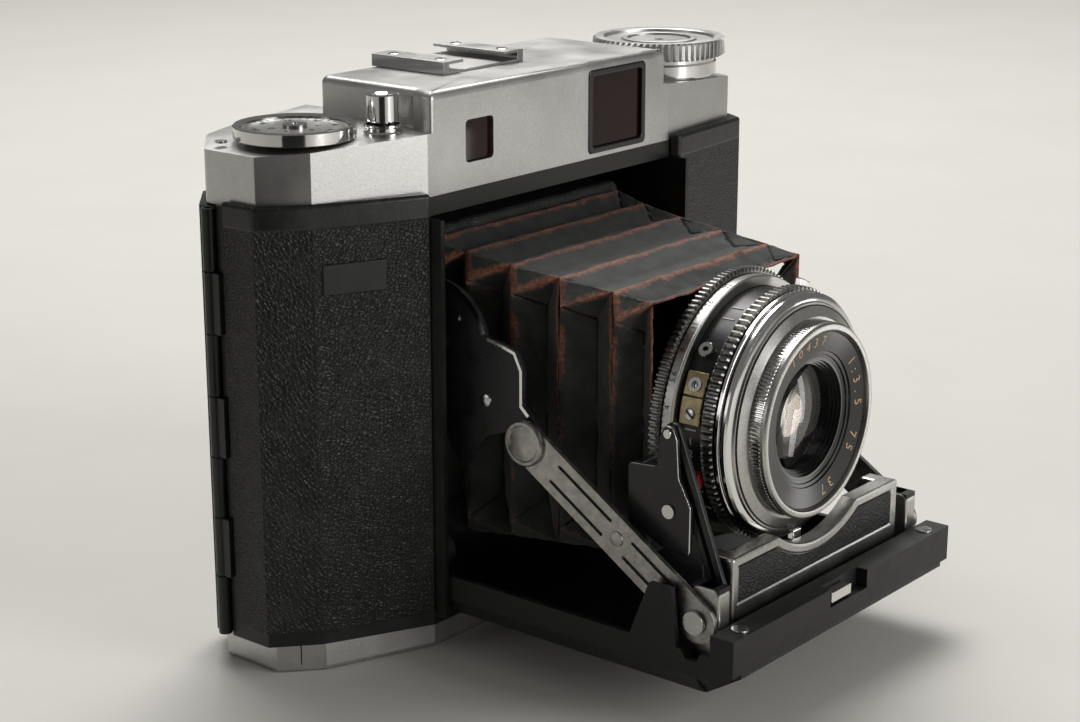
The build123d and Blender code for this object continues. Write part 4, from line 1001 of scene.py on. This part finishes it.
bosses = []
BOSS = [(4.4, 0.0), (4.4, 0.6), (4.1, 0.9), (3.5, 0.95), (3.3, 0.75), (2.6, 0.85), (1.4, 1.05), (0.02, 1.1)]
RIVET = [(1.5, 0.0), (1.4, 0.25), (0.8, 0.4), (0.02, 0.4)]
for side in (-1, 1):
    bosses.append(standing(BOSS, side, STRUT_FACE, KNUCKLE, 64))
    bosses.append(standing(RIVET, side, STRUT_FACE, STRUT_MIDDLE, 32))
piece("strut_bosses", joined(*bosses), NICKEL, "struts", ("strut_buttons",), smooth=30)

# Two dark grooves run along each strut, broken at the middle rivet.
along = (Vector(KNUCKLE) - Vector(STRUT_PIVOT)).normalized()
across = Vector((-along.y, along.x))
inlays = []
for side in (-1, 1):
    for start, end in ((6.0, 18.0), (24.0, 38.0)):
        for offset in (-1.9, 1.9):
            corners = [Vector(STRUT_PIVOT) + along * t + across * (offset + w)
                       for t, w in rectangle((start, -0.3), (end, 0.3))]
            inlays.append(prism([tuple(c) for c in corners], side * 34.76, side * 34.85, "YZ"))
piece("strut_grooves", joined(*inlays), DARK, "struts", ())

# Bright cheeks at the ends of the bracket, round the pivots of the struts.
cheek = rounded([(-84.1, 10.0), (-84.1, 27.4), (-78.1, 27.4), (-78.1, 10.0)], [0.0, 1.6, 1.6, 0.0], 4)
cheeks = [prism(cheek, low, low + 3.6, "YZ") for low in (-33.95, 30.35)]
piece("bracket_cheeks", joined(*cheeks), BRACKET, "door", (), 0.4)

# ---- mouldings and plate on the body ----
MOULD_Z = (85.8, 90.7)
MOULD_SIDE = [(67.6, 3.4), (66.1, 3.4)]      # where each band ends, beside the back door
LEFT_BAND = [(38.9, -21.8), (59.5, -11.9), (67.6, -4.8), *MOULD_SIDE, (66.1, -4.1), (58.8, -11.0),
             (37.6, -19.8)]
RIGHT_BAND = [(38.9, -21.8), (64.9, -19.1), (67.6, -14.6), *MOULD_SIDE, (66.1, -12.7), (63.3, -16.9),
              (37.6, -19.8)]
for name, side, band in (("left_moulding", -1, LEFT_BAND), ("right_moulding", 1, RIGHT_BAND)):
    outline = [(side * x, y) for x, y in band]
    piece(name, prism(outline, *MOULD_Z), MOULDING, "camera", (), 0.7, 5)

# A blank plate on the slanted panel at the left.
PANEL_START, PANEL_END = Vector((-59.2, -11.3)), Vector((-38.8, -21.2))
PLATE_Z, PLATE_LONG, PLATE_THICK = (73.8, 79.6), 12.4, 0.4
panel = (PANEL_END - PANEL_START).normalized()
outward = Vector((panel.y, -panel.x))
start = PANEL_START + panel * 1.6 + outward * 0.45
end = start + panel * PLATE_LONG
corners = [start, end, end + outward * PLATE_THICK, start + outward * PLATE_THICK]
plate = prism([tuple(c) for c in corners], *PLATE_Z)
piece("blank_plate", plate, PAINT, "camera", (), 0.18, 2)


# ---- floor, light and camera ----
FLOOR_HALF = 3.0       # metres


def floor():
    s = Shade("floor_paper", (0.62, 0.605, 0.565), 0.75)
    mottle, marks = s.noise(60.0, 5.0, 0.6), s.noise(9.0, 6.0, 0.7)
    s.drive("Base Color", s.mix(mottle, (0.60, 0.585, 0.545), (0.66, 0.645, 0.61)))
    s.bump(marks, 0.05)
    bm = bmesh.new()
    corners = rectangle((-FLOOR_HALF, -FLOOR_HALF), (FLOOR_HALF, FLOOR_HALF))
    bm.faces.new([bm.verts.new((x, y, 0.0)) for x, y in corners])
    object_of("floor", bm, s.material)


def area_light(name, at, target, size, power, colour=(1.0, 1.0, 1.0)):
    data = bpy.data.lights.new(name, "AREA")
    data.shape = "RECTANGLE"
    data.size, data.size_y = size
    data.energy = power
    data.color = colour
    obj = bpy.data.objects.new(name, data)
    obj.location = at
    obj.rotation_euler = (Vector(target) - Vector(at)).to_track_quat("-Z", "Y").to_euler()
    bpy.context.scene.collection.objects.link(obj)
    return obj


def card(name, corners, shade):
    """A studio board that only reflections see."""
    bm = bmesh.new()
    bm.faces.new([bm.verts.new(c) for c in corners])
    obj = object_of(name, bm, shade)
    obj.visible_camera = obj.visible_diffuse = obj.visible_shadow = obj.visible_transmission = False


floor()
CENTRE = (0.0, -0.03, 0.05)
WARM = (1.0, 0.99, 0.97)
area_light("overhead", (0.30, 0.40, 1.00), CENTRE, (0.8, 0.6), 8.6, WARM)
area_light("background", (1.0, 0.65, 1.35), (0.95, 0.6, 0.0), (0.9, 0.9), 12.2, WARM)
area_light("front_right", (0.25, -0.95, 0.45), CENTRE, (0.35, 0.5), 3.0)
area_light("left", (-1.1, 0.45, 0.35), CENTRE, (0.4, 0.4), 0.6)
area_light("front_strip", (-0.02, -0.75, 0.16), (-0.05, 0.0, 0.09), (0.20, 0.30), 0.9)
area_light("lens_glint", (0.115, -0.155, 0.030), (0.0, -0.078, 0.05), (0.020, 0.070), 0.012)

# Two black boards in front of the left end darken its chamfer: one upright, one just over the floor.
FLAG_ENDS, FLAG_HEIGHT, FOOT_LIFT = [(-0.300, -0.100), (-0.172, -0.240)], 0.3, 0.001
low, high = [[(*end, z) for end in FLAG_ENDS] for z in (0.0, FLAG_HEIGHT)]
card("flag", low + high[::-1], DARK)
foot = FLAG_ENDS + [(-0.110, -0.085), (-0.140, -0.045)]
card("flag_foot", [(*corner, FOOT_LIFT) for corner in foot], DARK)

world = bpy.data.worlds.new("studio")
world.use_nodes = True
background = world.node_tree.nodes["Background"]
background.inputs["Color"].default_value = (0.93, 0.92, 0.90, 1.0)
background.inputs["Strength"].default_value = 0.17
bpy.context.scene.world = world

# The camera stands where the photograph's did: its place, its fall and turn in degrees, and its lens in mm.
CAMERA_AT, CAMERA_FALL, CAMERA_TURN, CAMERA_LENS = (-0.33189, -0.28757, 0.17421), 16.25, -50.68, 73.52
camera_data = bpy.data.cameras.new("camera")
camera_data.lens = CAMERA_LENS
camera_data.sensor_width = 36.0
camera_data.clip_start = 0.01
camera = bpy.data.objects.new("camera", camera_data)
camera.location = CAMERA_AT
camera.rotation_euler = (math.radians(90 - CAMERA_FALL), 0.0, math.radians(CAMERA_TURN))
bpy.context.scene.collection.objects.link(camera)
bpy.context.scene.camera = camera
bpy.context.scene.view_settings.view_transform = "Standard"
